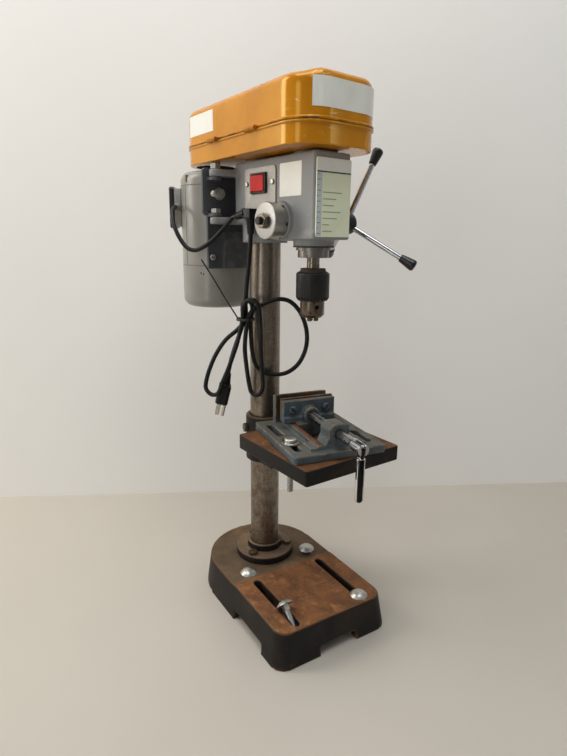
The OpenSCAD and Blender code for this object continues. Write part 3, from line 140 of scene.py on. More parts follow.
# The leads in the head's frame, in millimetres: the same points as the solids follow
CORD_ROUTE = (
    (-37, -16, 11), (-37.5, -15.5, -2), (-39, -14, -28), (-41, -11.5, -58), (-42, -9.5, -86), (-42, -9, -109),
    (-51, -2, -124), (-65, 9.5, -140), (-76.5, 19, -162), (-85.5, 25, -187), (-90.5, 27, -207),
    (-90.5, 25, -216.5), (-85.5, 19.5, -223), (-80, 13, -222), (-76, 8.5, -213), (-74, 6, -203),
    (-68, 0.5, -184), (-62, -4.5, -163), (-56, -9, -140), (-49.5, -12, -109), (-49.5, -13.5, -95),
    (-48, -17.5, -84), (-43, -25, -79), (-37, -31.5, -84), (-34.5, -34, -97), (-33.5, -35.5, -123),
    (-33.5, -36, -151), (-33, -37.5, -177), (-32.5, -39.5, -198), (-32.8, -39, -209), (-35, -35.5, -217.5),
    (-39, -29.5, -220.5), (-42.5, -24, -216.5), (-44, -21, -206), (-46.5, -18, -180), (-48.5, -16.5, -152),
    (-47, -17, -128), (-43, -17, -109), (-40, -20, -98), (-32, -25, -90), (-22, -30, -85), (-11.5, -35, -81),
    (-1, -42, -79), (10, -49.5, -83), (19.5, -57, -95), (26.5, -62.5, -113), (29.5, -65, -134),
    (27.5, -63.5, -155), (20, -57.5, -175), (8, -48, -188), (-5.5, -37.5, -192), (-20.5, -26.5, -189),
    (-30.5, -19.5, -178), (-34.5, -16, -160), (-36, -14.5, -136), (-36, -14, -109), (-32.5, -13.5, -97),
    (-32.5, -11.5, -87.5), (-34.5, -4.5, -82.5), (-37, 3, -86.5), (-38.5, 4, -97), (-39.5, -1, -109),
    (-41, 3.5, -125), (-47, 9.5, -148), (-52.5, 14, -170), (-54.5, 15.5, -181), (-56.5, 17, -192),
)
LEAD_ROUTE = (
    (-43, 12, 36), (-44.5, 20, 34), (-51, 31, 21), (-63, 43, 4), (-73, 58, -8), (-80, 71, -12), (-86, 82, -8),
    (-91, 92, 4), (-94, 102, 20), (-93, 111, 35), (-88, 119, 46), (-80, 128, 51.5), (-75.5, 133.6, 52),
)
LEAD_BENDS = (8, -17)
TAIL_ROUTE = ((-55, -9, -107), (-66, 6, -80), (-78, 18, -52), (-91, 30, -24))
TIE_MIDDLE = (-42, -9, -109)

# The photographer's place, the camera's yaw, pitch and roll in degrees, and the wall behind the part
CAMERA_AT = (-0.4146, -0.7184, 0.5634)
CAMERA_TURN = (32.0, 14.29, 0.61)
FOCAL_PX = 545.2
PHOTO_H_PX = 756
SENSOR_MM = 36.0
WALL_POINT = (-0.360, 0.556)
WALL_RUN = (0.889, -0.457)


def srgb(r, g, b):
    """A colour of 0 to 255 as linear light."""
    parts = (r / 255, g / 255, b / 255)
    return tuple(c / 12.92 if c <= 0.04045 else ((c + 0.055) / 1.055) ** 2.4 for c in parts)


def colour(title, words, rgb):
    return FloatVectorProperty(
        name=title, description=words, subtype="COLOR", size=3, min=0.0, max=1.0, default=srgb(*rgb)
    )


def length(title, words, metres):
    return FloatProperty(
        name=title, description=words, default=metres, min=0.0, precision=5, subtype="DISTANCE",
        unit="LENGTH",
    )


class PressColours(bpy.types.PropertyGroup):
    cover: colour("Cover enamel", "Yellow enamel of the pulley cover", (212, 140, 26))
    cover_worn: colour("Worn cover enamel", "Cover enamel where it has faded", (194, 121, 16))
    head: colour("Head enamel", "Grey enamel of the head casting", (142, 143, 143))
    motor: colour("Motor enamel", "Grey enamel of the motor", (148, 145, 138))
    vise: colour("Vise enamel", "Grey enamel of the vise", (84, 94, 98))
    casting: colour("Dark casting", "Dark paint of base, flange and bracket", (34, 31, 29))
    rust: colour("Rust", "Brown rust on bare iron", (114, 75, 45))
    rust_deep: colour("Deep rust", "Darkest rust on bare iron", (80, 53, 36))
    steel: colour("Steel", "Ground steel", (168, 164, 156))
    chrome: colour("Chrome", "Chrome plate", (216, 217, 219))
    zinc: colour("Zinc", "Zinc plate on bolts", (196, 194, 188))
    black: colour("Black", "Black enamel, plastic and rubber", (18, 18, 18))
    rocker: colour("Rocker", "Red rocker of the switch", (208, 16, 5))
    label: colour("Bare label", "Plain pale plates", (244, 245, 236))
    wall: colour("Wall", "Backdrop", (246, 244, 239))
    floor: colour("Floor", "Studio floor", (201, 194, 182))


class PressSizes(bpy.types.PropertyGroup):
    cord_d: length("Cord diameter", "Diameter of the mains cord and the motor lead", 0.0065)
    sheet: length("Sheet", "Thickness of the lid's sheet", 0.0016)
    lid_h: length("Lid height", "Height of the lid above the seam", 0.051)
    hump_h: length("Hump height", "Rise of the lid's front over its top", 0.004)
    lid_round: length("Lid rounding", "Radius of the lid's top edge", 0.010)
    label_t: length("Label thickness", "Thickness of the pale plates", 0.0004)


def colours():
    return bpy.context.scene.press_colours


def sizes():
    return bpy.context.scene.press_sizes


class Tree:
    """A material's nodes, added and joined in one line each."""

    def __init__(self, name):
        self.material = bpy.data.materials.new(name)
        self.material.use_nodes = True
        self.tree = self.material.node_tree
        self.shader = self.tree.nodes["Principled BSDF"]
        self.place = self.add("TexCoord").outputs["Object"]
        self.base = None

    def feed(self, socket, value):
        """Joins an output to a socket, or sets a number, a vector or a colour on it."""
        if hasattr(value, "is_output"):
            self.tree.links.new(value, socket)
        elif socket.type == "RGBA":
            socket.default_value = (*value[:3], 1.0)
        else:
            socket.default_value = value

    def add(self, kind, **values):
        """A node with its options and sockets set by name, _ standing for a space."""
        node = self.tree.nodes.new("ShaderNode" + kind)
        for key, value in values.items():
            if hasattr(node, key):
                setattr(node, key, value)
            else:
                self.feed(node.inputs[key.replace("_", " ")], value)
        return node

    def mapped(self, scale, turn=(0, 0, 0)):
        turn = [radians(a) for a in turn]
        return self.add("Mapping", Vector=self.place, Scale=scale, Rotation=turn).outputs["Vector"]

    def noise(self, scale, detail, rough=0.6, twist=0.0, place=None):
        node = self.add("TexNoise", Scale=scale, Detail=detail, Roughness=rough, Distortion=twist)
        self.feed(node.inputs["Vector"], place or self.place)
        return node.outputs["Fac"]

    def band(self, value, low, high, out_low=0.0, out_high=1.0):
        """Value spread from low..high to out_low..out_high, held at the ends."""
        node = self.add(
            "MapRange", interpolation_type="SMOOTHSTEP", Value=value, From_Min=low, From_Max=high,
            To_Min=out_low, To_Max=out_high,
        )
        return node.outputs["Result"]

    def spots(self, noise, low, high, most=1.0, least=0.0):
        """Noise of a scale, detail, roughness, twist and place, spread from low..high to least..most."""
        return self.band(self.noise(*noise), low, high, least, most)

    def work(self, kind, operation, a, b):
        """The result of a node that works on two values."""
        node = self.add(kind, operation=operation)
        self.feed(node.inputs[0], a)
        self.feed(node.inputs[1], b)
        return node.outputs["Value"]

    def calc(self, operation, a, b=0.0):
        return self.work("Math", operation, a, b)

    def times(self, a, b):
        return self.calc("MULTIPLY", a, b)

    def plus(self, a, b):
        return self.calc("ADD", a, b)

    def minus(self, a, b):
        return self.calc("SUBTRACT", a, b)

    def most(self, a, b):
        return self.calc("MAXIMUM", a, b)

    def between(self, data_type, values, inputs, output):
        node = self.add("Mix", data_type=data_type)
        for k, value in zip(inputs, values):
            self.feed(node.inputs[k], value)
        return node.outputs[output]

    def mix(self, factor, a, b):
        """Colour a where factor is 0 and colour b where it is 1."""
        return self.between("RGBA", (factor, a, b), (0, 6, 7), 2)

    def layer(self, factor, rgb):
        """Lays a colour over the base colour where factor is 1."""
        self.base = self.mix(factor, self.base, rgb)

    def blend(self, factor, a, b):
        """Number a where factor is 0 and number b where it is 1."""
        return self.between("FLOAT", (factor, a, b), (0, 2, 3), 0)

    def surface(self, name):
        return self.add("NewGeometry").outputs[name]

    def edges(self, low, high):
        """1 on outer edges, from the surface's own curvature."""
        return self.band(self.surface("Pointiness"), low, high)

    def facing_up(self, low, high):
        return self.band(self.add("SeparateXYZ", Vector=self.surface("Normal")).outputs["Z"], low, high)

    def along(self, axis, low, high):
        return self.band(self.add("SeparateXYZ", Vector=self.place).outputs[axis], low, high)

    def near(self, place, reach):
        """1 at a place, falling to 0 at a reach from it."""
        return self.band(self.work("VectorMath", "DISTANCE", self.place, place), reach, reach * 0.4)

    def dot(self, vector, way):
        return self.work("VectorMath", "DOT_PRODUCT", vector, way)

    def ridges(self, way, pitch):
        """A wave from 0 to 1 along a direction, with one crest in each pitch."""
        wave = self.calc("SINE", self.times(self.dot(self.place, way), 2 * pi / pitch))
        return self.plus(self.times(wave, 0.5), 0.5)

    def bump(self, height, distance):
        node = self.add("Bump", Strength=1.0, Distance=distance, Height=height)
        self.feed(self.shader.inputs["Normal"], node.outputs["Normal"])

    def done(self, rough, metal, **others):
        """The material, with the shader's sockets set by name, _ standing for a space."""
        for name, value in {"Base_Color": self.base, "Roughness": rough, "Metallic": metal, **others}.items():
            self.feed(self.shader.inputs[name.replace("_", " ")], value)
        return self.material


def shade(rgb, by):
    return tuple(min(1.0, c * by) for c in rgb)


def enamel(
    name, rgb, worn, chip, rough, chips, grime, scratches, coat=0.0, orange_peel=0.00004, dust=None,
    tint=(1, 1, 1), scuff=None, grime_rgb=None, shine=0.4, grime_at=0.52, wear=EDGE_WEAR, bare_faces=None,
):
    """Enamel with fading, grime, scratches and chipped edges; scuff is a place and a reach."""
    t = Tree(name)
    fade = t.spots((9, 5, 0.6, 0.4), 0.35, 0.7)
    t.base = t.mix(fade, rgb, worn)
    dirt = t.spots((28, 9, 0.72, 0.6), grime_at, grime_at + 0.26, grime)
    t.layer(dirt, grime_rgb or shade(worn, 0.55))
    if dust:
        drift = t.spots((17, 7, 0.62), 0.25, 0.7, 0.95, 0.25)
        t.layer(t.times(t.facing_up(0.3, 0.9), drift), dust)
    streak = t.noise(14, 4, 0.55, 0.2, t.mapped((7, 0.8, 1.6), (24, 8, 33)))
    streak = t.band(streak, scratches, scratches + 0.03)
    fine = t.noise(34, 3, 0.5, 0, t.mapped((1.1, 9, 0.7), (-12, 30, 71)))
    marks = t.most(streak, t.band(fine, scratches + 0.02, scratches + 0.05))
    t.layer(t.times(marks, 0.55), shade(rgb, 1.55))
    if scuff:
        rubs = t.spots((26, 5, 0.6, 1.2, t.mapped((1.2, 1.2, 5), (35, 20, 10))), 0.6, 0.64)
        rubs = t.times(rubs, t.near(*scuff))
        t.layer(t.times(rubs, 0.75), srgb(232, 214, 176))
    flecks = t.spots((95, 8, 0.7), chips, chips + 0.03)
    edge = t.times(t.edges(*wear), t.spots((60, 6), 0.42, 0.62))
    bare = t.most(flecks, edge)
    t.layer(bare, chip)
    gloss = t.blend(dirt, rough, rough + 0.28)
    gloss = t.blend(bare, gloss, 0.6)
    if bare_faces:
        gloss = bare_faces(t, gloss)
    t.bump(t.minus(t.noise(420, 2, 0.5), t.times(bare, 1.5)), orange_peel)
    return t.done(
        gloss, 0.0, Coat_Weight=coat, Coat_Roughness=0.1, Specular_IOR_Level=shine, Specular_Tint=tint
    )


def rusty_ways(t, gloss):
    """Lays rust on the bare tops of the vise's two rails and gives the roughness with it."""
    c = colours()
    off = sum(a * b for a, b in zip(VISE_AT, VISE_ACROSS))
    side = t.calc("ABSOLUTE", t.minus(t.dot(t.place, VISE_ACROSS), off))
    top = t.times(t.facing_up(0.6, 0.9), t.band(side, WAYS_HALF + 0.001, WAYS_HALF))
    above = t.along("Z", WAYS_TOP - 0.002, WAYS_TOP - 0.001)
    top = t.times(top, t.times(above, t.along("Z", WAYS_TOP + 0.002, WAYS_TOP + 0.001)))
    brown, brown_gloss, _ = rusty_iron(t, c.rust, c.rust_deep, srgb(140, 104, 70))
    t.layer(top, brown)
    return t.blend(top, gloss, brown_gloss)


def threaded(name, rgb, way, pitch, start, fade, rough):
    """Steel with thread lines along a direction, fading in from a start along it."""
    t = Tree(name)
    crest = t.ridges(way, pitch)
    here = t.band(t.dot(t.place, way), start, start + fade)
    # Painted shade: the troughs between the thread's crests are darkened almost to black
    dark = t.times(here, t.band(crest, 0.55, 0.2))
    stains = t.spots((80, 8, 0.7), 0.48, 0.7, 0.6)
    t.base = t.mix(stains, rgb, shade(rgb, 0.6))
    t.layer(dark, shade(rgb, 0.16))
    t.bump(t.times(crest, here), 0.0002)
    return t.done(t.blend(stains, rough, rough + 0.2), 1.0)


def bare_steel(
    name, rgb, stain, rough, stains, grain=(1, 1, 1), rust=None, rust_at=0.62, pits=0.00003, rust_above=None,
    fine=1,
):
    """Ground or turned steel with stains and, where asked, rust."""
    t = Tree(name)
    lines = t.noise(260, 4, 0.6, 0, t.mapped(grain))
    t.base = t.mix(t.band(lines, 0.3, 0.7), shade(rgb, 0.86), shade(rgb, 1.08))
    patch = t.spots((22 * fine, 8, 0.7, 0.15), stains, stains + 0.22)
    t.layer(patch, stain)
    gloss = t.blend(patch, rough, rough + 0.22)
    metal = 1.0
    relief = lines
    if rust is not None:
        spots = t.spots((48 * fine, 10, 0.74, 0.15), rust_at, rust_at + 0.12)
        if rust_above is not None:
            patchy = t.spots((90, 6), 0.3, 0.5, 1.0, 0.5)
            spots = t.most(spots, t.times(t.along("Z", rust_above, rust_above + 0.0008), patchy))
        t.layer(spots, t.mix(t.noise(120, 6), shade(rust, 0.55), shade(rust, 1.15)))
        gloss = t.blend(spots, gloss, 0.85)
        metal = t.blend(spots, 1.0, 0.15)
        relief = t.plus(lines, t.times(spots, 2.0))
    t.bump(relief, pits)
    return t.done(gloss, metal)


def striped_chrome(name, dark, bright, way):
    """Chrome gone dark along the two sides that lie across a direction."""
    t = Tree(name)
    across = t.calc("ABSOLUTE", t.dot(t.surface("Normal"), way))
    cloud = t.times(t.minus(t.noise(60, 6, 0.6), 0.5), 0.25)
    # Painted reflection: sides whose faces point along the way are near black, the rest is bright chrome
    t.base = t.mix(t.band(t.plus(across, cloud), 0.7, 0.82), bright, dark)
    t.bump(t.noise(300, 3, 0.5), 0.000004)
    return t.done(t.spots((40, 8, 0.7), 0.4, 0.8, 0.2, 0.05), 1.0)


def worn_column(name):
    """A ground steel column gone brown: streaks down its length, stains and fine specks."""
    t = Tree(name)
    streaks = t.noise(110, 6, 0.6, 0, t.mapped((3, 3, 0.5)))
    t.base = t.mix(t.band(streaks, 0.25, 0.75), srgb(128, 119, 108), srgb(152, 143, 131))
    low = t.along("Z", 0.50, 0.24)
    stains = t.times(t.spots((46, 10, 0.76), 0.42, 0.66, 0.8, 0.1), t.blend(low, 0.6, 1.0))
    t.layer(stains, t.mix(low, srgb(116, 94, 72), srgb(92, 72, 54)))
    dark = t.spots((360, 8, 0.8), 0.52, 0.6, 0.7)
    dark = t.times(dark, t.blend(low, 0.45, 1.0))
    t.layer(dark, srgb(62, 50, 41))
    pale = t.spots((470, 5, 0.75), 0.57, 0.66, 0.55)
    t.layer(pale, srgb(196, 182, 164))
    gloss = t.blend(t.most(stains, dark), 0.3, 0.46)
    t.bump(t.minus(t.times(streaks, 0.4), dark), 0.00005)
    return t.done(gloss, t.blend(stains, 1.0, 0.85))


def plastic(name, rgb, rough=0.42, grain=700, relief=0.00003, dusty=0.35, shine=0.5):
    """Moulded plastic with a fine skin, rubbed edges and dust."""
    t = Tree(name)
    skin = t.noise(grain, 3, 0.6)
    dust = t.spots((36, 8, 0.7), 0.5, 0.8, dusty)
    t.base = t.mix(dust, rgb, shade(tuple(c + 0.05 for c in rgb), 1.2))
    edge = t.edges(0.54, 0.64)
    t.layer(t.times(edge, 0.5), shade(tuple(c + 0.06 for c in rgb), 1.6))
    gloss = t.blend(dust, rough, min(1.0, rough + 0.25))
    t.bump(skin, relief)
    return t.done(gloss, 0.0, Specular_IOR_Level=shine)


def rusty_iron(t, rust, deep, bright):
    """Colour, roughness and relief of a machined iron face gone brown."""
    cloud = t.noise(24, 10, 0.72, 0.5)
    base = t.mix(t.band(cloud, 0.34, 0.66), deep, rust)
    glow = t.spots((52, 9, 0.7, 0.3), 0.5, 0.7, 0.85)
    base = t.mix(glow, base, bright)
    grit = t.spots((420, 5, 0.7), 0.42, 0.68)
    base = t.mix(t.times(grit, 0.4), base, shade(deep, 0.8))
    spots = t.spots((130, 9, 0.75), 0.6, 0.66)
    base = t.mix(t.times(spots, 0.8), base, shade(deep, 0.4))
    lines = t.noise(120, 3, 0.5, 0, t.mapped((9, 0.4, 1), (0, 0, 12)))
    base = t.mix(t.band(lines, 0.62, 0.7, 0.0, 0.3), base, shade(bright, 1.3))
    gloss = t.blend(glow, 0.72, 0.5)
    relief = t.plus(t.noise(520, 4, 0.6), t.times(spots, -1.5))
    return base, gloss, relief


def painted_casting(name, rgb, dusty, machined_from=None, machined_behind=None, glow=1.0, wear=EDGE_WEAR):
    """Dark rough casting, dusty on top; a machined top face is brown with rust."""
    c = colours()
    t = Tree(name)
    skin = t.noise(240, 8, 0.66)
    t.base = t.mix(t.spots((20, 8, 0.66), 0.36, 0.68), shade(rgb, 0.7), shade(rgb, 1.1))
    dust = t.times(t.facing_up(0.2, 0.9), t.spots((14, 7, 0.6), 0.3, 0.72, 0.95, 0.35))
    t.layer(dust, dusty)
    smears = t.spots((11, 8, 0.68, 0.5), 0.48, 0.7, 0.55)
    t.layer(smears, shade(c.rust_deep, 0.8))
    spots = t.spots((70, 9, 0.7), 0.63, 0.7)
    t.layer(t.times(spots, 0.6), c.rust)
    edge = t.times(t.edges(*wear), t.spots((45, 6), 0.38, 0.64))
    t.layer(t.times(edge, 0.8), shade(c.rust, 0.9))
    gloss = t.blend(dust, 0.52, 0.78)
    relief = skin
    if machined_from is not None:
        top = t.times(t.facing_up(0.85, 0.97), t.along("Z", machined_from, machined_from + 0.0006))
        if machined_behind is not None:
            top = t.times(top, t.along("Y", machined_behind + 0.0015, machined_behind - 0.0015))
        browns = [shade(b, glow) for b in (c.rust, c.rust_deep, srgb(140, 95, 56))]
        brown, brown_gloss, pits = rusty_iron(t, *browns)
        t.layer(top, brown)
        gloss = t.blend(top, gloss, brown_gloss)
        relief = t.blend(top, skin, t.times(pits, 0.5))
    t.bump(relief, 0.00016)
    return t.done(gloss, 0.0, Specular_IOR_Level=0.22)


def rubber(name, rgb):
    t = Tree(name)
    dust = t.spots((60, 8, 0.7), 0.45, 0.8, 0.3)
    t.base = t.mix(dust, rgb, shade(tuple(c + 0.03 for c in rgb), 1.3))
    gloss = t.blend(dust, 0.34, 0.6)
    t.bump(t.noise(900, 2, 0.5), 0.00003)
    return t.done(gloss, 0.0, Specular_IOR_Level=0.3)


def pale_label(name, rgb):
    """A plain printed plate, yellowed and creased."""
    t = Tree(name)
    yellow = t.spots((30, 5, 0.6), 0.4, 0.75, 0.5)
    t.base = t.mix(yellow, rgb, shade(rgb, 0.82))
    crease = t.spots((22, 3, 0.5, 0, t.mapped((2.5, 2.5, 0.5), (20, 0, 40))), 0.62, 0.66, 0.5)
    t.layer(crease, shade(rgb, 1.1))
    t.bump(t.plus(t.noise(90, 4, 0.5), crease), 0.0001)
    return t.done(0.34, 0.0)


FINISHES = {}


def row(*values, **named):
    return values, named


def finish_all(maker, **rows):
    """Makes a maker's finishes from rows of its values."""
    for name, (values, named) in rows.items():
        FINISHES[name] = maker(name + "_finish", *values, **named)


def make_finishes():
    """Makes the enamels, metals, rubber and plastics."""
    c = colours()
    finish_all(
        enamel,
        cover_yellow=row(
            c.cover, c.cover_worn, srgb(58, 44, 28), 0.13, 0.715, 0.3, 0.7, 0.0, 0.00002,
            tint=(1.0, 0.78, 0.24), scuff=(SCUFF_AT, SCUFF_REACH), shine=0.9,
        ),
        head_paint=row(c.head, shade(c.head, 0.86), srgb(84, 82, 78), 0.42, 0.7, 0.55, 0.7, 0.0, 0.0001),
        motor_paint=row(
            c.motor, shade(c.motor, 0.9), srgb(96, 92, 86), 0.3, 0.73, 0.35, 0.72, 0.15, shine=0.5
        ),
        vise_paint=row(
            c.vise, srgb(62, 78, 90), srgb(124, 112, 94), 0.5, 0.64, 0.85, 0.69, 0.0, 0.0004,
            srgb(92, 87, 74), grime_rgb=srgb(66, 57, 46), shine=0.25, grime_at=0.43, wear=VISE_WEAR,
            bare_faces=rusty_ways,
        ),
        black_metal=row(srgb(80, 83, 87), srgb(66, 69, 73), srgb(120, 116, 110), 0.42, 0.76, 0.35, 0.74),
        sleeve_black=row(
            srgb(23, 22, 23), srgb(18, 17, 17), srgb(86, 74, 64), 0.42, 0.68, 0.6, 0.7, 0.0, 0.0001
        ),
        painted_screw=row(srgb(74, 82, 88), srgb(60, 66, 72), srgb(120, 112, 100), 0.45, 0.66, 0.6, 0.68),
        hinge_paint=row(
            c.cover_worn, shade(c.cover_worn, 0.7), srgb(52, 38, 24), 0.45, 0.6, 0.9, 0.66,
            tint=(1.0, 0.8, 0.4),
        ),
    )
    finish_all(
        painted_casting,
        cast_iron_dark=row(c.casting, srgb(146, 121, 96)),
        base_iron=row(shade(c.casting, 0.9), srgb(132, 108, 82), PAD_Z, PAD_BACK, 1.65, BASE_WEAR),
        table_rust=row(shade(c.casting, 0.5), srgb(80, 62, 46), TABLE_TOP),
    )
    finish_all(
        bare_steel,
        machined_steel=row(c.steel, srgb(128, 112, 92), 0.3, 0.55, (0.4, 0.4, 8), c.rust, 0.7),
        chuck_steel=row(
            srgb(116, 104, 92), srgb(78, 62, 48), 0.26, 0.46, (0.5, 0.5, 6), srgb(74, 58, 45), 0.56,
            0.00006, CHUCK_SHOULDER, 4,
        ),
        spindle_steel=row(
            srgb(142, 132, 118), srgb(100, 82, 64), 0.24, 0.46, (4, 4, 0.4), c.rust_deep, 0.6, fine=4
        ),
        collar_steel=row(
            srgb(138, 134, 128), srgb(104, 92, 78), 0.38, 0.5, (0.4, 0.4, 8), c.rust, 0.64, fine=3
        ),
        jaw_steel=row(srgb(120, 106, 92), srgb(92, 72, 54), 0.45, 0.4, (1, 1, 1), c.rust, 0.5),
        fastener_steel=row(c.zinc, srgb(160, 152, 138), 0.4, 0.6, (2, 2, 2), c.rust, 0.74),
        nut_steel=row(srgb(140, 130, 114), srgb(104, 92, 76), 0.3, 0.5, (1, 1, 1), c.rust, 0.66, fine=4),
        cap_steel=row(srgb(168, 166, 162), srgb(138, 134, 128), 0.36, 0.56, (1, 8, 8), c.rust, 0.74),
        dark_bolt=row(srgb(112, 98, 82), srgb(80, 62, 46), 0.45, 0.45, (1, 1, 1), c.rust, 0.56),
        bright_chrome=row(shade(c.chrome, 0.72), srgb(150, 148, 144), 0.08, 0.66, pits=0.000004),
        plate_aluminium=row(srgb(160, 157, 151), srgb(142, 137, 129), 0.52, 0.6, (6, 0.4, 6)),
        blade_brass=row(srgb(206, 200, 186), srgb(170, 160, 140), 0.25, 0.6),
    )
    # Threads drawn as painted shade in their grooves, with a bump
    finish_all(
        threaded,
        screw_thread=row(srgb(186, 188, 190), VISE_ALONG, 0.003, VISE_THREAD_FROM, 0.002, 0.2),
        bolt_thread=row(c.zinc, (0, 0, -1), 0.00125, BOLT_THREAD_FROM, 0.004, 0.38),
    )
    finish_all(striped_chrome, striped_chrome=row(shade(c.chrome, 0.03), c.chrome, HANDLE_REFLECTION_WAY))
    finish_all(worn_column, column_steel=row())
    finish_all(
        plastic,
        # Near-black plastic for painted hole shade and for the dark ring under the nose
        seam_dark=row(srgb(34, 32, 30), 0.7),
        seam_grey=row(srgb(84, 80, 74), 0.6),
        black_plastic=row(shade(c.black, 0.9), 0.3, 300),
        bezel_plastic=row(c.black, 0.4),
        red_plastic=row(c.rocker, 0.24, 300, 0.00001, 0.05, 0.3),
    )
    finish_all(rubber, black_rubber=row(shade(c.black, 0.7)))
    finish_all(
        pale_label,
        label=row(c.label), chart=row(srgb(240, 246, 212)), scale=row(srgb(200, 210, 212)),
        print=row(srgb(158, 163, 140)),
    )


def paint(obj, finish):
    obj.data.materials.clear()
    obj.data.materials.append(FINISHES[finish])


def put(obj, body, *nodes, slot=None, finish=None):
    """Rides obj on a body, in place of CAD nodes, in one of the finishes."""
    if finish:
        paint(obj, finish)
    if nodes:
        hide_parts(*nodes)
    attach(obj, body)
    return obj


def linked(name, data):
    obj = bpy.data.objects.new(name, data)
    bpy.context.scene.collection.objects.link(obj)
    return obj


def as_object(bm, name, angle=38):
    mesh = bpy.data.meshes.new(name)
    bm.to_mesh(mesh)
    bm.free()
    mesh.shade_smooth()
    mesh.set_sharp_from_angle(angle=radians(angle))
    return linked(name, mesh)


def move(bm, matrix):
    bmesh.ops.transform(bm, matrix=matrix, verts=bm.verts[:])


def turn_out(bm):
    bmesh.ops.recalc_face_normals(bm, faces=bm.faces[:])


def round_edges(bm, edges, radius, segments):
    bmesh.ops.bevel(
        bm, geom=edges, offset=radius, offset_type="OFFSET", affect="EDGES", segments=segments, profile=0.5,
        material=-1,
    )


def welded(node, split=False):
    """A copy of a CAD node's mesh with its triangles joined to whole faces; split parts those with holes."""
    bm = bmesh.new()
    bm.from_mesh(frame["nodes"][node].data)
    bmesh.ops.remove_doubles(bm, verts=bm.verts[:], dist=2e-6)
    bmesh.ops.dissolve_limit(
        bm, angle_limit=radians(0.3), use_dissolve_boundaries=False, verts=bm.verts[:],
        edges=bm.edges[:], delimit=set(),
    )
    if split:
        bmesh.ops.connect_verts_concave(bm, faces=bm.faces[:])
    return bm


def stand_in(obj, node, finish=None):
    """Puts obj in place of a CAD node, in a finish or else in the one named like its slot."""
    return put(obj, frame["nodes"][node]["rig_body"], node, finish=finish or SLOT_OF[node])


def bend(obj, node, start, end):
    """Puts obj in place of a CAD node that bends between the head and the motor."""
    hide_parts(node)
    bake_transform(obj)


def modify(obj, name, kind, **values):
    modifier = obj.modifiers.new(name, kind)
    for key, value in values.items():
        setattr(modifier, key, value)


def machined(node, edge, finish=None, segments=2, clamp=False, split=False, shape=None):
    """A CAD node, or a shape made from its copy, with its sharp edges broken by so many millimetres."""
    obj = as_object(shape or welded(node, split), node + "_finished", SHARP)
    modify(
        obj, "broken_edges", "BEVEL", width=edge * MM, segments=segments, limit_method="ANGLE",
        angle_limit=radians(SHARP), use_clamp_overlap=clamp, harden_normals=True,
        miter_outer="MITER_ARC",
    )
    return stand_in(obj, node, finish)


def cast(node, grain, smooth, finish=None):
    """A CAD node as a casting, with a grain in millimetres: edges and corners flow together."""
    obj = as_object(welded(node), node + "_cast", 60)
    modify(obj, "skin", "REMESH", mode="VOXEL", voxel_size=grain * MM, use_smooth_shade=True)
    modify(obj, "flow", "SMOOTH", factor=0.5, iterations=smooth)
    return stand_in(obj, node, finish)


def keep(*nodes):
    """CAD nodes whose shape is right, in better finishes."""
    for node in nodes:
        paint(frame["nodes"][node], SLOT_OF[node])


def dress_stand():
    """Finishes the base, its bolts, the flange and the column."""
    cast("base", 2.2, 5, "base_iron")
    machined("base_bolts", 0.4, "fastener_steel", clamp=True)
    machined("column_flange", 1.4, "cast_iron_dark", 3)
    machined("flange_bolts", 0.7, "dark_bolt")
    machined("column", 1)


def dress_table():
    """Finishes the table and its bracket."""
    cast("table_bracket", 1.8, 6, "cast_iron_dark")
    machined("table_bolts", 0.7, "dark_bolt")
    machined("table", 1.6, segments=3)


def dress_vise():
    """Finishes the drilling vise."""
    cast("vise_body", 1.1, 4)
    cast("vise_moving_jaw", 1, 4)
    machined("vise_fixed_plate", 0.6)
    machined("vise_moving_plate", 0.6)
    machined("vise_jaw_screws", 0.4, "painted_screw")
    machined("vise_hold_downs", 0.5, "bolt_thread")
    machined("vise_screw", 0.6, "screw_thread", split=True)
    # The handle's chrome carries a painted dark reflection on two sides
    machined("vise_handle", 0.6, "striped_chrome", split=True)


def round_plate_corners(node, radius):
    """A copy of a plate on the head's side with its upright corners rounded."""
    bm = welded(node)
    back = TO_HEAD.inverted()
    spots = {v: back @ v.co for v in bm.verts}
    ends = [(min(along), max(along)) for along in zip(*spots.values())]
    depth = ends[0][1] - ends[0][0]

    def at_corner(v):
        return all(min(abs(spots[v][k] - end) for end in ends[k]) < 1e-4 for k in (1, 2))

    corners = [
        e for e in bm.edges
        if abs((spots[e.verts[0]] - spots[e.verts[1]]).x) > depth * 0.9 and at_corner(e.verts[0])
    ]
    round_edges(bm, corners, radius, 5)
    return bm


def ring(name, middle, inner, outer, low, high, body, finish, slot):
    """A flat ring round an upright axis in the head's frame."""
    bm = bmesh.new()
    corners = ((inner, low), (outer, low), (outer, high), (inner, high))
    profile = [bm.verts.new((r, 0, z)) for r, z in corners]
    edges = [bm.edges.new((a, b)) for a, b in zip(profile, profile[1:] + profile[:1])]
    bmesh.ops.spin(
        bm, geom=profile + edges, cent=(0, 0, 0), axis=(0, 0, 1), angle=radians(360), steps=72,
        use_merge=True, use_duplicate=False,
    )
    turn_out(bm)
    move(bm, TO_HEAD @ Matrix.Translation((*middle, 0)))
    return put(as_object(bm, name), body, slot=slot, finish=finish)


def knob(name, at, out, radius, tall, finish, slot):
    """A short round pin with a broken edge, standing on the motor, at a place in the head's frame."""
    bm = bmesh.new()
    bmesh.ops.create_cone(bm, cap_ends=True, segments=24, radius1=radius, radius2=radius, depth=tall)
    rim = [e for e in bm.edges if e.verts[0].co.z > 0 and e.verts[1].co.z > 0]
    round_edges(bm, rim, radius * 0.25, 2)
    turn = Vector(out).to_track_quat("Z", "Y").to_matrix().to_4x4()
    move(bm, TO_HEAD @ Matrix.Translation(at) @ turn)
    return put(as_object(bm, name), "motor", slot=slot, finish=finish)


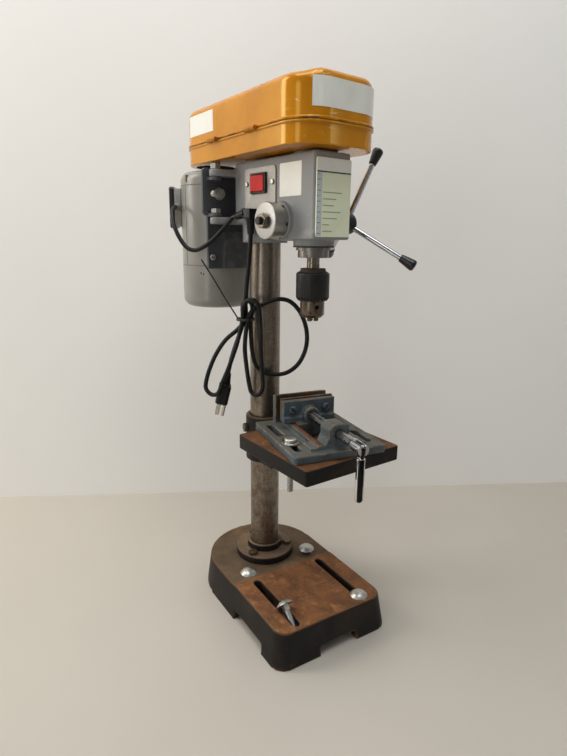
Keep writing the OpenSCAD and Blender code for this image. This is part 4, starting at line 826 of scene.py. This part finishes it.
def dress_head():
    """Finishes the head casting, the switch and the spring cap."""
    cast("head_casting", 1.5, 5)
    # A thin dark ring just under the nose boss
    low, high = NOSE_LOW - 0.0014, NOSE_LOW + 0.0004
    ring("nose_dark_ring", SPINDLE_AT, 0.0206, 0.0272, low, high, "head", "seam_dark", "black_rubber")
    machined("head_bolts", 0.7)
    machined("switch_plate", 0.5, shape=round_plate_corners("switch_plate", 0.006))
    machined("switch_plate_screws", 0.3)
    machined("switch_body", 0.8, "bezel_plastic", split=True)
    machined("switch_rocker", 0.9, segments=3)
    machined("spring_cap", 0.7, "cap_steel")
    keep("return_spring")


def dress_spindle():
    """Finishes the quill, the spindle and the chuck."""
    machined("quill", 0.5, "collar_steel")
    low, high = COLLAR_TOP - 0.0026, COLLAR_TOP + 0.0006
    ring("collar_lip", SPINDLE_AT, 0.0203, 0.0232, low, high, "quill", "collar_steel", "machined_steel")
    keep("spindle_bearings")
    machined("spindle", 0.6, "spindle_steel")
    machined("chuck_body", 0.5, "chuck_steel")
    machined("chuck_sleeve", 0.4, "sleeve_black")
    for k in (1, 2, 3):
        machined(f"chuck_jaw_{k}", 0.3, "chuck_steel")


def dress_feed():
    """Finishes the feed shaft, hub, spokes and knobs."""
    machined("pinion_shaft", 0.3, "sleeve_black")
    machined("feed_hub", 1)
    machined("feed_spokes", 0.4)
    machined("feed_knobs", 1.2, segments=3)
    machined("spring_nuts", 0.5, "nut_steel")


def dress_drive():
    """Finishes the pulleys, the belt and the bearings."""
    keep("pulley_bearing")
    bm = welded("v_belt")
    spans = [e for e in bm.edges if e.calc_length() > 0.02]
    bmesh.ops.subdivide_edges(bm, edges=spans, cuts=15)
    belt = as_object(bm, "v_belt_running", 40)
    paint(belt, SLOT_OF["v_belt"])
    bend(belt, "v_belt", *(TO_HEAD @ Vector((0, y, SEAM_Z)) for y in BELT_BENDS))
    machined("spindle_pulley", 0.4)
    machined("motor_pulley", 0.4)
    keep("motor_rotor", "stator")


def dress_motor():
    """Finishes the motor, its bracket and the junction box."""
    machined("motor_bracket", 1)
    machined("motor_shell", 0.9)
    machined("motor_end_bells", 0.9)
    machined("junction_box", 1, split=True)
    machined("junction_cover", 1.6, "black_plastic", 3)
    machined("motor_bolts", 0.6)
    r = MOTOR_R

    def seam(name, z):
        low, high = z - 0.0004, z + 0.0004
        ring(name, MOTOR_AT, r - 0.001, r + 0.0002, low, high, "motor", "seam_grey", "black_plastic")

    def on_motor(degrees, radius, z):
        """A place on the motor's side, and the way out from it."""
        a = radians(degrees)
        out = Vector((cos(a), sin(a), 0))
        return Vector((*MOTOR_AT, z)) + out * radius, out

    seam("motor_seam_high", 0.084)
    seam("motor_seam_low", -0.036)
    # Dark discs painted on the bell where its two holes are, as the shade inside them
    for k, (degrees, z) in enumerate(((211, -0.0472), (215.5, -0.0487))):
        at, out = on_motor(degrees, r, z)
        knob(f"bell_hole_shade_{k + 1}", at, out, 0.0012, 0.0006, "seam_dark", "black_plastic")
    for k, degrees in enumerate((184, 4)):
        at, _ = on_motor(degrees, r - 0.002, 0.0935)
        knob(f"through_bolt_{k + 1}", at, (0, 0, 1), 0.0034, 0.010, "dark_bolt", "fastener_steel")
    turned = TO_HEAD @ Matrix.Translation((*MOTOR_AT, 0)) @ Matrix.Rotation(radians(181), 4, "Z")
    lo, hi = (r - 0.0004, -0.0005, -0.034), (r + 0.0003, 0.0005, 0.082)
    plate("motor_shell_seam", lo, hi, "seam_grey", "motor", "black_plastic", turned, 0.0001)


def cover_outline(bm, grow, z):
    """One face in the cover's outline, grown outwards, at height z, with points all along its sides."""
    side = COVER_W / 2 - CORNER_R
    front = -COVER_FRONT + CORNER_R
    run = Vector((side, REAR_Y - front))
    lean = atan2(run.x, run.y) - asin((REAR_R - CORNER_R) / run.length)
    arcs = (
        ((side, front), CORNER_R, -pi / 2, lean),
        ((0, REAR_Y), REAR_R, lean, pi - lean),
        ((-side, front), CORNER_R, pi - lean, pi * 1.5),
    )
    corners = []
    for middle, radius, start, stop in arcs:
        steps = round((stop - start) / radians(4))
        for k in range(steps + 1):
            a = start + (stop - start) * k / steps
            corners.append(Vector(middle) + (radius + grow) * Vector((cos(a), sin(a))))
    points = []
    for k, here in enumerate(corners):
        there = corners[(k + 1) % len(corners)]
        steps = max(1, round((there - here).length / 0.007))
        points += [here.lerp(there, i / steps) for i in range(steps)]
    return bm.faces.new([bm.verts.new((*q, z)) for q in points])


def raise_rim(bm, face, steps):
    """Extrudes a face upwards through (inset, rise) steps, open below."""
    for inset, rise in steps:
        made = bmesh.ops.extrude_face_region(bm, geom=[face])["geom"]
        bmesh.ops.delete(bm, geom=[face], context="FACES_ONLY")
        face = next(g for g in made if isinstance(g, bmesh.types.BMFace))
        bmesh.ops.translate(bm, verts=face.verts, vec=(0, 0, rise))
        if inset:
            loop = face.verts[:]
            shifts = []
            for before, v, after in zip(loop[-1:] + loop, loop, loop[1:] + loop):
                along = ((v.co - before.co).normalized() + (after.co - v.co).normalized()).normalized()
                shifts.append(Vector((-along.y, along.x, 0)) * inset)
            for v, shift in zip(loop, shifts):
                v.co += shift
    return face


def eased(x):
    """0 below 0 and 1 above 1, with a smooth rise between them."""
    x = min(1.0, max(0.0, x))
    return x * x * (3 - 2 * x)


def dress_cover():
    """Presses the yellow lid and finishes its housing and hinges."""
    s = sizes()
    machined("pulley_housing", 1.2, segments=3)
    machined("housing_hinges", 0.3, "hinge_paint")
    machined("lid_hinges", 0.3, "hinge_paint")
    bm = bmesh.new()
    low = SEAM_Z + SEAM_GAP
    face = cover_outline(bm, LIP_OUT, low)
    r = s.lid_round
    wall = s.lid_h - LIP_T - r - 0.0008
    quarter = [radians(90 * k / 6) for k in range(7)]
    lip = [(0, LIP_T * 0.7), (LIP_OUT * 0.5, LIP_T * 0.3), (LIP_OUT * 0.5, 0.0008)]
    sides = [(0, wall * 0.6), (0, wall * 0.2), (0, wall * 0.2)]
    rounding = [
        (r * (cos(a) - cos(b)), r * (sin(b) - sin(a)))
        for a, b in zip(quarter, quarter[1:])
    ]
    raise_rim(bm, face, lip + sides + rounding + [(0.0044, 0)] * 7)
    crown = low + s.lid_h
    for v in bm.verts:
        lift = eased((v.co.z - crown + 0.022) / 0.022)
        across = eased((HUMP_HALF + 0.010 - abs(v.co.x)) / 0.022)
        back = eased((HUMP_BACK + 0.014 - v.co.y) / 0.036)
        v.co.z += s.hump_h * lift * across * back
    turn_out(bm)
    move(bm, TO_HEAD)
    lid = as_object(bm, "pulley_lid_pressed", 40)
    modify(lid, "sheet", "SOLIDIFY", thickness=s.sheet, offset=-1.0)
    put(lid, "lid", "pulley_lid", finish="cover_yellow")


def plate(name, lo, hi, finish, body="head", slot="plate_aluminium", matrix=TO_HEAD, radius=0.0015):
    """A thin plate with rounded corners, from its two opposite corners."""
    bm = bmesh.new()
    lo, hi = Vector(lo), Vector(hi)
    size = hi - lo
    bmesh.ops.create_cube(bm, size=1.0)
    move(bm, Matrix.Translation((lo + hi) / 2) @ Matrix.Diagonal((*size, 1)))
    thin = min(range(3), key=lambda k: size[k])
    corners = [e for e in bm.edges if abs((e.verts[0].co - e.verts[1].co)[thin]) > size[thin] / 2]
    round_edges(bm, corners, radius, 4)
    move(bm, matrix)
    return put(as_object(bm, name), body, slot=slot, finish=finish)


def wrapped_plate(name, points, z_low, z_high):
    """A thin label laid round the lid over (x, y, outward angle) points, from z_low to z_high."""
    t = sizes().label_t
    bm = bmesh.new()
    loops = []
    corners = ((t, z_low), (t, z_high), (-t, z_high), (-t, z_low))
    for x, y, a in points:
        out = Vector((cos(a), sin(a)))
        loops.append([bm.verts.new((*(Vector((x, y)) + out * by), z)) for by, z in corners])
    for here, after in zip(loops, loops[1:]):
        for k in range(4):
            bm.faces.new((here[k - 1], after[k - 1], after[k], here[k]))
    bm.faces.new(loops[0])
    bm.faces.new(loops[-1])
    turn_out(bm)
    move(bm, TO_HEAD)
    return put(as_object(bm, name, 50), "lid", slot="plate_aluminium", finish="label")


def arc(middle, radius, start, stop):
    """Points round an arc with their outward angles, from degree to degree."""
    steps = max(2, round(abs(stop - start) / 4))
    angles = [radians(start + (stop - start) * k / steps) for k in range(steps + 1)]
    return [(middle[0] + radius * cos(a), middle[1] + radius * sin(a), a) for a in angles]


def dress_labels():
    """Sets the bare plates on the head and the lid."""
    t = sizes().label_t
    (x0, z0), (x1, z1) = PANEL_LO, PANEL_HI
    rim = 0.0004

    def on_front(name, lo, hi, layer, finish, radius):
        out = FRONT_Y - PANEL_T - 0.00012 * layer
        lo, hi = (lo[0], out, lo[1]), (hi[0], FRONT_Y + 0.0002, hi[1])
        plate(name, lo, hi, finish, radius=radius)

    on_front("front_panel", (x0, z0), (x1, z1), 0, "chart", 0.002)
    on_front("front_panel_header", (x0 + rim, RULE_Z + 0.0017), (x1 - rim, z1 - rim), 1, "label", 0.002)
    on_front("front_panel_rule", (x0 + rim, RULE_Z), (x1 - rim, RULE_Z + 0.0016), 1, "bezel_plastic", 0.0002)
    on_front("front_panel_scale", (x0 + rim, z0 + 0.001), (x0 + 0.0085, RULE_Z - 0.0002), 1, "scale", 0.001)
    for k in range(12):
        z = MARK_FIRST_Z + MARK_STEP * k
        lo, hi = (x0 + 0.001, z), (x0 + (0.0064, 0.0036)[k % 2], z + 0.0006)
        on_front(f"front_panel_mark_{k + 1}", lo, hi, 2, "bezel_plastic", 0.0001)
    for k, reach in enumerate(ROW_LENGTHS):
        z = ROW_FIRST_Z - ROW_STEP * k
        on_front(f"front_panel_row_{k + 1}", (ROW_X, z), (ROW_X + reach, z + 0.0011), 2, "print", 0.0002)
    lo, hi = (SIDE_X - t, -0.118, 0.059), (SIDE_X + 0.0002, -0.0735, 0.100)
    plate("side_plate", lo, hi, "label")
    edge, ahead = COVER_W / 2 - CORNER_R, CORNER_R - COVER_FRONT
    around = arc((-edge, ahead), CORNER_R, 235, 270) + arc((edge, ahead), CORNER_R, -90, -35)
    wrapped_plate("lid_front_label", around, 0.1525, 0.1845)
    around = arc((0, REAR_Y), REAR_R, 164, SIDE_TURN) + [(-0.0575, 0.046, radians(SIDE_TURN))]
    wrapped_plate("lid_side_label", around, 0.1525, 0.1805)


def smooth_route(points, steps=8):
    """Points of the smooth curve through a route in the head's frame, as places in metres."""
    p = [Vector(q) * MM for q in points]
    out = []
    for i in range(len(p) - 1):
        a, b, c, d = p[max(0, i - 1)], p[i], p[i + 1], p[min(len(p) - 1, i + 2)]
        for k in range(steps):
            t = k / steps
            out.append(b + 0.5 * t * (c - a + t * (2 * a - 5 * b + 4 * c - d + t * (3 * (b - c) + d - a))))
    out.append(p[-1])
    return [TO_HEAD @ q for q in out]


def lead(name, points, diameter, finish):
    curve = bpy.data.curves.new(name, "CURVE")
    curve.dimensions = "3D"
    curve.bevel_depth = diameter / 2
    curve.bevel_resolution = 5
    curve.use_fill_caps = True
    spline = curve.splines.new("POLY")
    spline.points.add(len(points) - 1)
    for point, co in zip(spline.points, points):
        point.co = (*co, 1.0)
    spline.use_smooth = True
    curve.materials.append(FINISHES[finish])
    return linked(name, curve)


def as_tube(run):
    """A lead's curve turned to a mesh, so that it can bend across a joint."""
    mesh = bpy.data.meshes.new_from_object(run.evaluated_get(bpy.context.evaluated_depsgraph_get()))
    name = run.name
    bpy.data.objects.remove(run)
    mesh.name = name
    return linked(name, mesh)


def wound_tie(name, middle, radius, thick, turns, rise):
    """A wire wound round an upright axis, in the head's frame."""
    steps = 48 * turns
    bm = bmesh.new()
    loop = bmesh.ops.create_circle(bm, segments=8, radius=thick)["verts"]
    bmesh.ops.rotate(bm, verts=loop, cent=(0, 0, 0), matrix=Matrix.Rotation(pi / 2, 3, "X"))
    bmesh.ops.translate(bm, verts=loop, vec=(radius, 0, 0))
    bmesh.ops.spin(
        bm, geom=loop + bm.edges[:], cent=(0, 0, 0), axis=(0, 0, 1), dvec=(0, 0, rise / steps),
        angle=radians(360 * turns), steps=steps, use_duplicate=False,
    )
    bmesh.ops.holes_fill(bm, edges=[e for e in bm.edges if e.is_boundary], sides=0)
    turn_out(bm)
    move(bm, TO_HEAD @ Matrix.Translation(middle - Vector((0, 0, rise / 2))))
    return as_object(bm, name, 60)


def dress_leads():
    """Hangs the mains cord, the motor lead, the tie and the plug."""
    d = sizes().cord_d
    machined("cord_gland", 0.8, "black_rubber")
    plug = machined("plug", 2.2, segments=4, split=True)
    blades = machined("plug_blades", 0.3)
    way = smooth_route(CORD_ROUTE)
    cord = put(lead("mains_cord", way, d, "black_rubber"), "head", "power_cord")
    tail = lead("tie_tail", smooth_route(TAIL_ROUTE), 0.0022, "black_plastic")
    put(tail, "head", slot=SLOT_OF["cord_tie"])
    tie = wound_tie("tie_turns", Vector(TIE_MIDDLE) * MM, 0.0126, 0.0009, 3, 0.0036)
    put(tie, "head", "cord_tie", finish="black_plastic")
    way = smooth_route(LEAD_ROUTE)
    motor = as_tube(lead("motor_cable", way, d, "black_rubber"))
    bend(motor, "motor_lead", *(way[k] for k in LEAD_BENDS))


def flat(name, corners, material):
    bm = bmesh.new()
    bm.faces.new([bm.verts.new(c) for c in corners])
    obj = as_object(bm, name)
    obj.data.materials.append(material)


def backdrop_finish(name, rgb, mottle, lit=0.0):
    """Plain paint that shows from the front only, so that the part can be seen from behind it."""
    t = Tree(name)
    t.base = t.mix(t.spots((2.2, 4, 0.5), 0.3, 0.7, mottle), rgb, shade(rgb, 0.9))
    specks = t.spots((26, 8, 0.7), 0.7, 0.78, mottle)
    t.layer(specks, shade(rgb, 0.8))
    t.done(0.7, 0.0, Emission_Color=rgb, Emission_Strength=lit)
    either = t.add("MixShader", Fac=t.surface("Backfacing"))
    t.feed(either.inputs[1], t.shader.outputs[0])
    t.feed(either.inputs[2], t.add("BsdfTransparent").outputs[0])
    t.feed(t.tree.nodes["Material Output"].inputs["Surface"], either.outputs[0])
    return t.material


def area_light(name, at, aim, size, watts, rgb):
    data = bpy.data.lights.new(name, "AREA")
    data.shape = "RECTANGLE"
    data.size, data.size_y = size
    data.energy = watts
    data.color = rgb
    obj = linked(name, data)
    obj.location = at
    obj.rotation_euler = (Vector(aim) - Vector(at)).to_track_quat("-Z", "Y").to_euler()


def build_stage():
    """Sets the floor, the wall, the lights and the camera."""
    c = colours()
    scene = bpy.context.scene
    scene.view_settings.view_transform = "Standard"
    corners = ((-4, -4, 0), (4, -4, 0), (4, 4, 0), (-4, 4, 0))
    flat("studio_floor", corners, backdrop_finish("floor_paint", c.floor, 0.5))
    p, run = Vector((*WALL_POINT, 0)), Vector((*WALL_RUN, 0))
    left, right = p - run * 3, p + run * 4
    up = Vector((0, 0, 3))
    corners = (left, right, right + up, left + up)
    flat("studio_wall", corners, backdrop_finish("wall_paint", c.wall, 0.25, 0.045))
    world = bpy.data.worlds.new("studio_air")
    world.use_nodes = True
    sky = world.node_tree.nodes["Background"]
    sky.inputs["Color"].default_value = (0.93, 0.96, 1.0, 1.0)
    sky.inputs["Strength"].default_value = 0.21
    scene.world = world
    area_light("key", (-1.3, 0.75, 1.25), (0, -0.05, 0.5), (0.55, 1.5), 14, (1.0, 0.95, 0.88))
    area_light("overhead", (-0.3, -0.4, 2.2), (0.1, 0.25, 0.4), (1.6, 1.0), 20.5, (0.98, 0.99, 1.0))
    area_light("window", (0.95, -1.15, 1.0), (0, -0.1, 0.6), (0.12, 1.1), 0.8, (0.95, 0.98, 1.0))
    area_light("side", (-1.9, -0.85, 0.7), (0, 0, 0.5), (0.5, 1.4), 5, (1.0, 0.98, 0.94))
    yaw, pitch, roll = (radians(a) for a in CAMERA_TURN)
    ahead = Vector((sin(yaw) * cos(pitch), cos(yaw) * cos(pitch), -sin(pitch)))
    side = Vector((cos(yaw), -sin(yaw), 0))
    up = side.cross(ahead)
    right = side * cos(roll) + up * sin(roll)
    top = up * cos(roll) - side * sin(roll)
    data = bpy.data.cameras.new("photo_camera")
    data.sensor_width = SENSOR_MM
    data.lens = FOCAL_PX * SENSOR_MM / PHOTO_H_PX
    data.clip_start = 0.02
    camera = linked("photo_camera", data)
    camera.matrix_world = Matrix.Translation(CAMERA_AT) @ Matrix((right, top, -ahead)).transposed().to_4x4()
    scene.camera = camera


class PressStep(bpy.types.Operator):
    """Builds one group of the drill press"""

    bl_idname = "press.step"
    bl_label = "Build a group"

    def execute(self, context):
        type(self).build()
        return {"FINISHED"}


def step(build):
    """An operator that runs one build function, named after it and described by its first line."""
    idname = build.__name__.split("_")[1]
    return type(
        "PRESS_OT_" + idname, (PressStep,),
        {
            "bl_idname": "press." + idname, "bl_label": idname.capitalize(),
            "__doc__": build.__doc__.rstrip("."), "build": staticmethod(build),
        },
    )


STEPS = tuple(
    step(build) for build in (
        make_finishes, build_stage, dress_leads, dress_stand, dress_table, dress_vise,
        dress_head, dress_spindle, dress_feed, dress_drive, dress_motor, dress_cover, dress_labels,
    )
)


class VIEW3D_PT_press(bpy.types.Panel):
    """Sidebar panel with the drill press's sizes, colours and build steps"""

    bl_label = "Drill press"
    bl_space_type = "VIEW_3D"
    bl_region_type = "UI"
    bl_category = "Drill press"

    def draw(self, context):
        for group in (context.scene.press_sizes, context.scene.press_colours):
            for name in group.bl_rna.properties.keys():
                if name not in ("rna_type", "name"):
                    self.layout.prop(group, name)
        for operator in STEPS:
            self.layout.operator(operator.bl_idname)


CLASSES = (PressColours, PressSizes, *STEPS, VIEW3D_PT_press)


def register():
    for cls in CLASSES:
        bpy.utils.register_class(cls)
    bpy.types.Scene.press_colours = PointerProperty(type=PressColours)
    bpy.types.Scene.press_sizes = PointerProperty(type=PressSizes)


def unregister():
    del bpy.types.Scene.press_sizes
    del bpy.types.Scene.press_colours
    for cls in reversed(CLASSES):
        bpy.utils.unregister_class(cls)


def main():
    register()
    for operator in STEPS:
        group, name = operator.bl_idname.split(".")
        getattr(getattr(bpy.ops, group), name)()


if __name__ == "__main__":
    main()
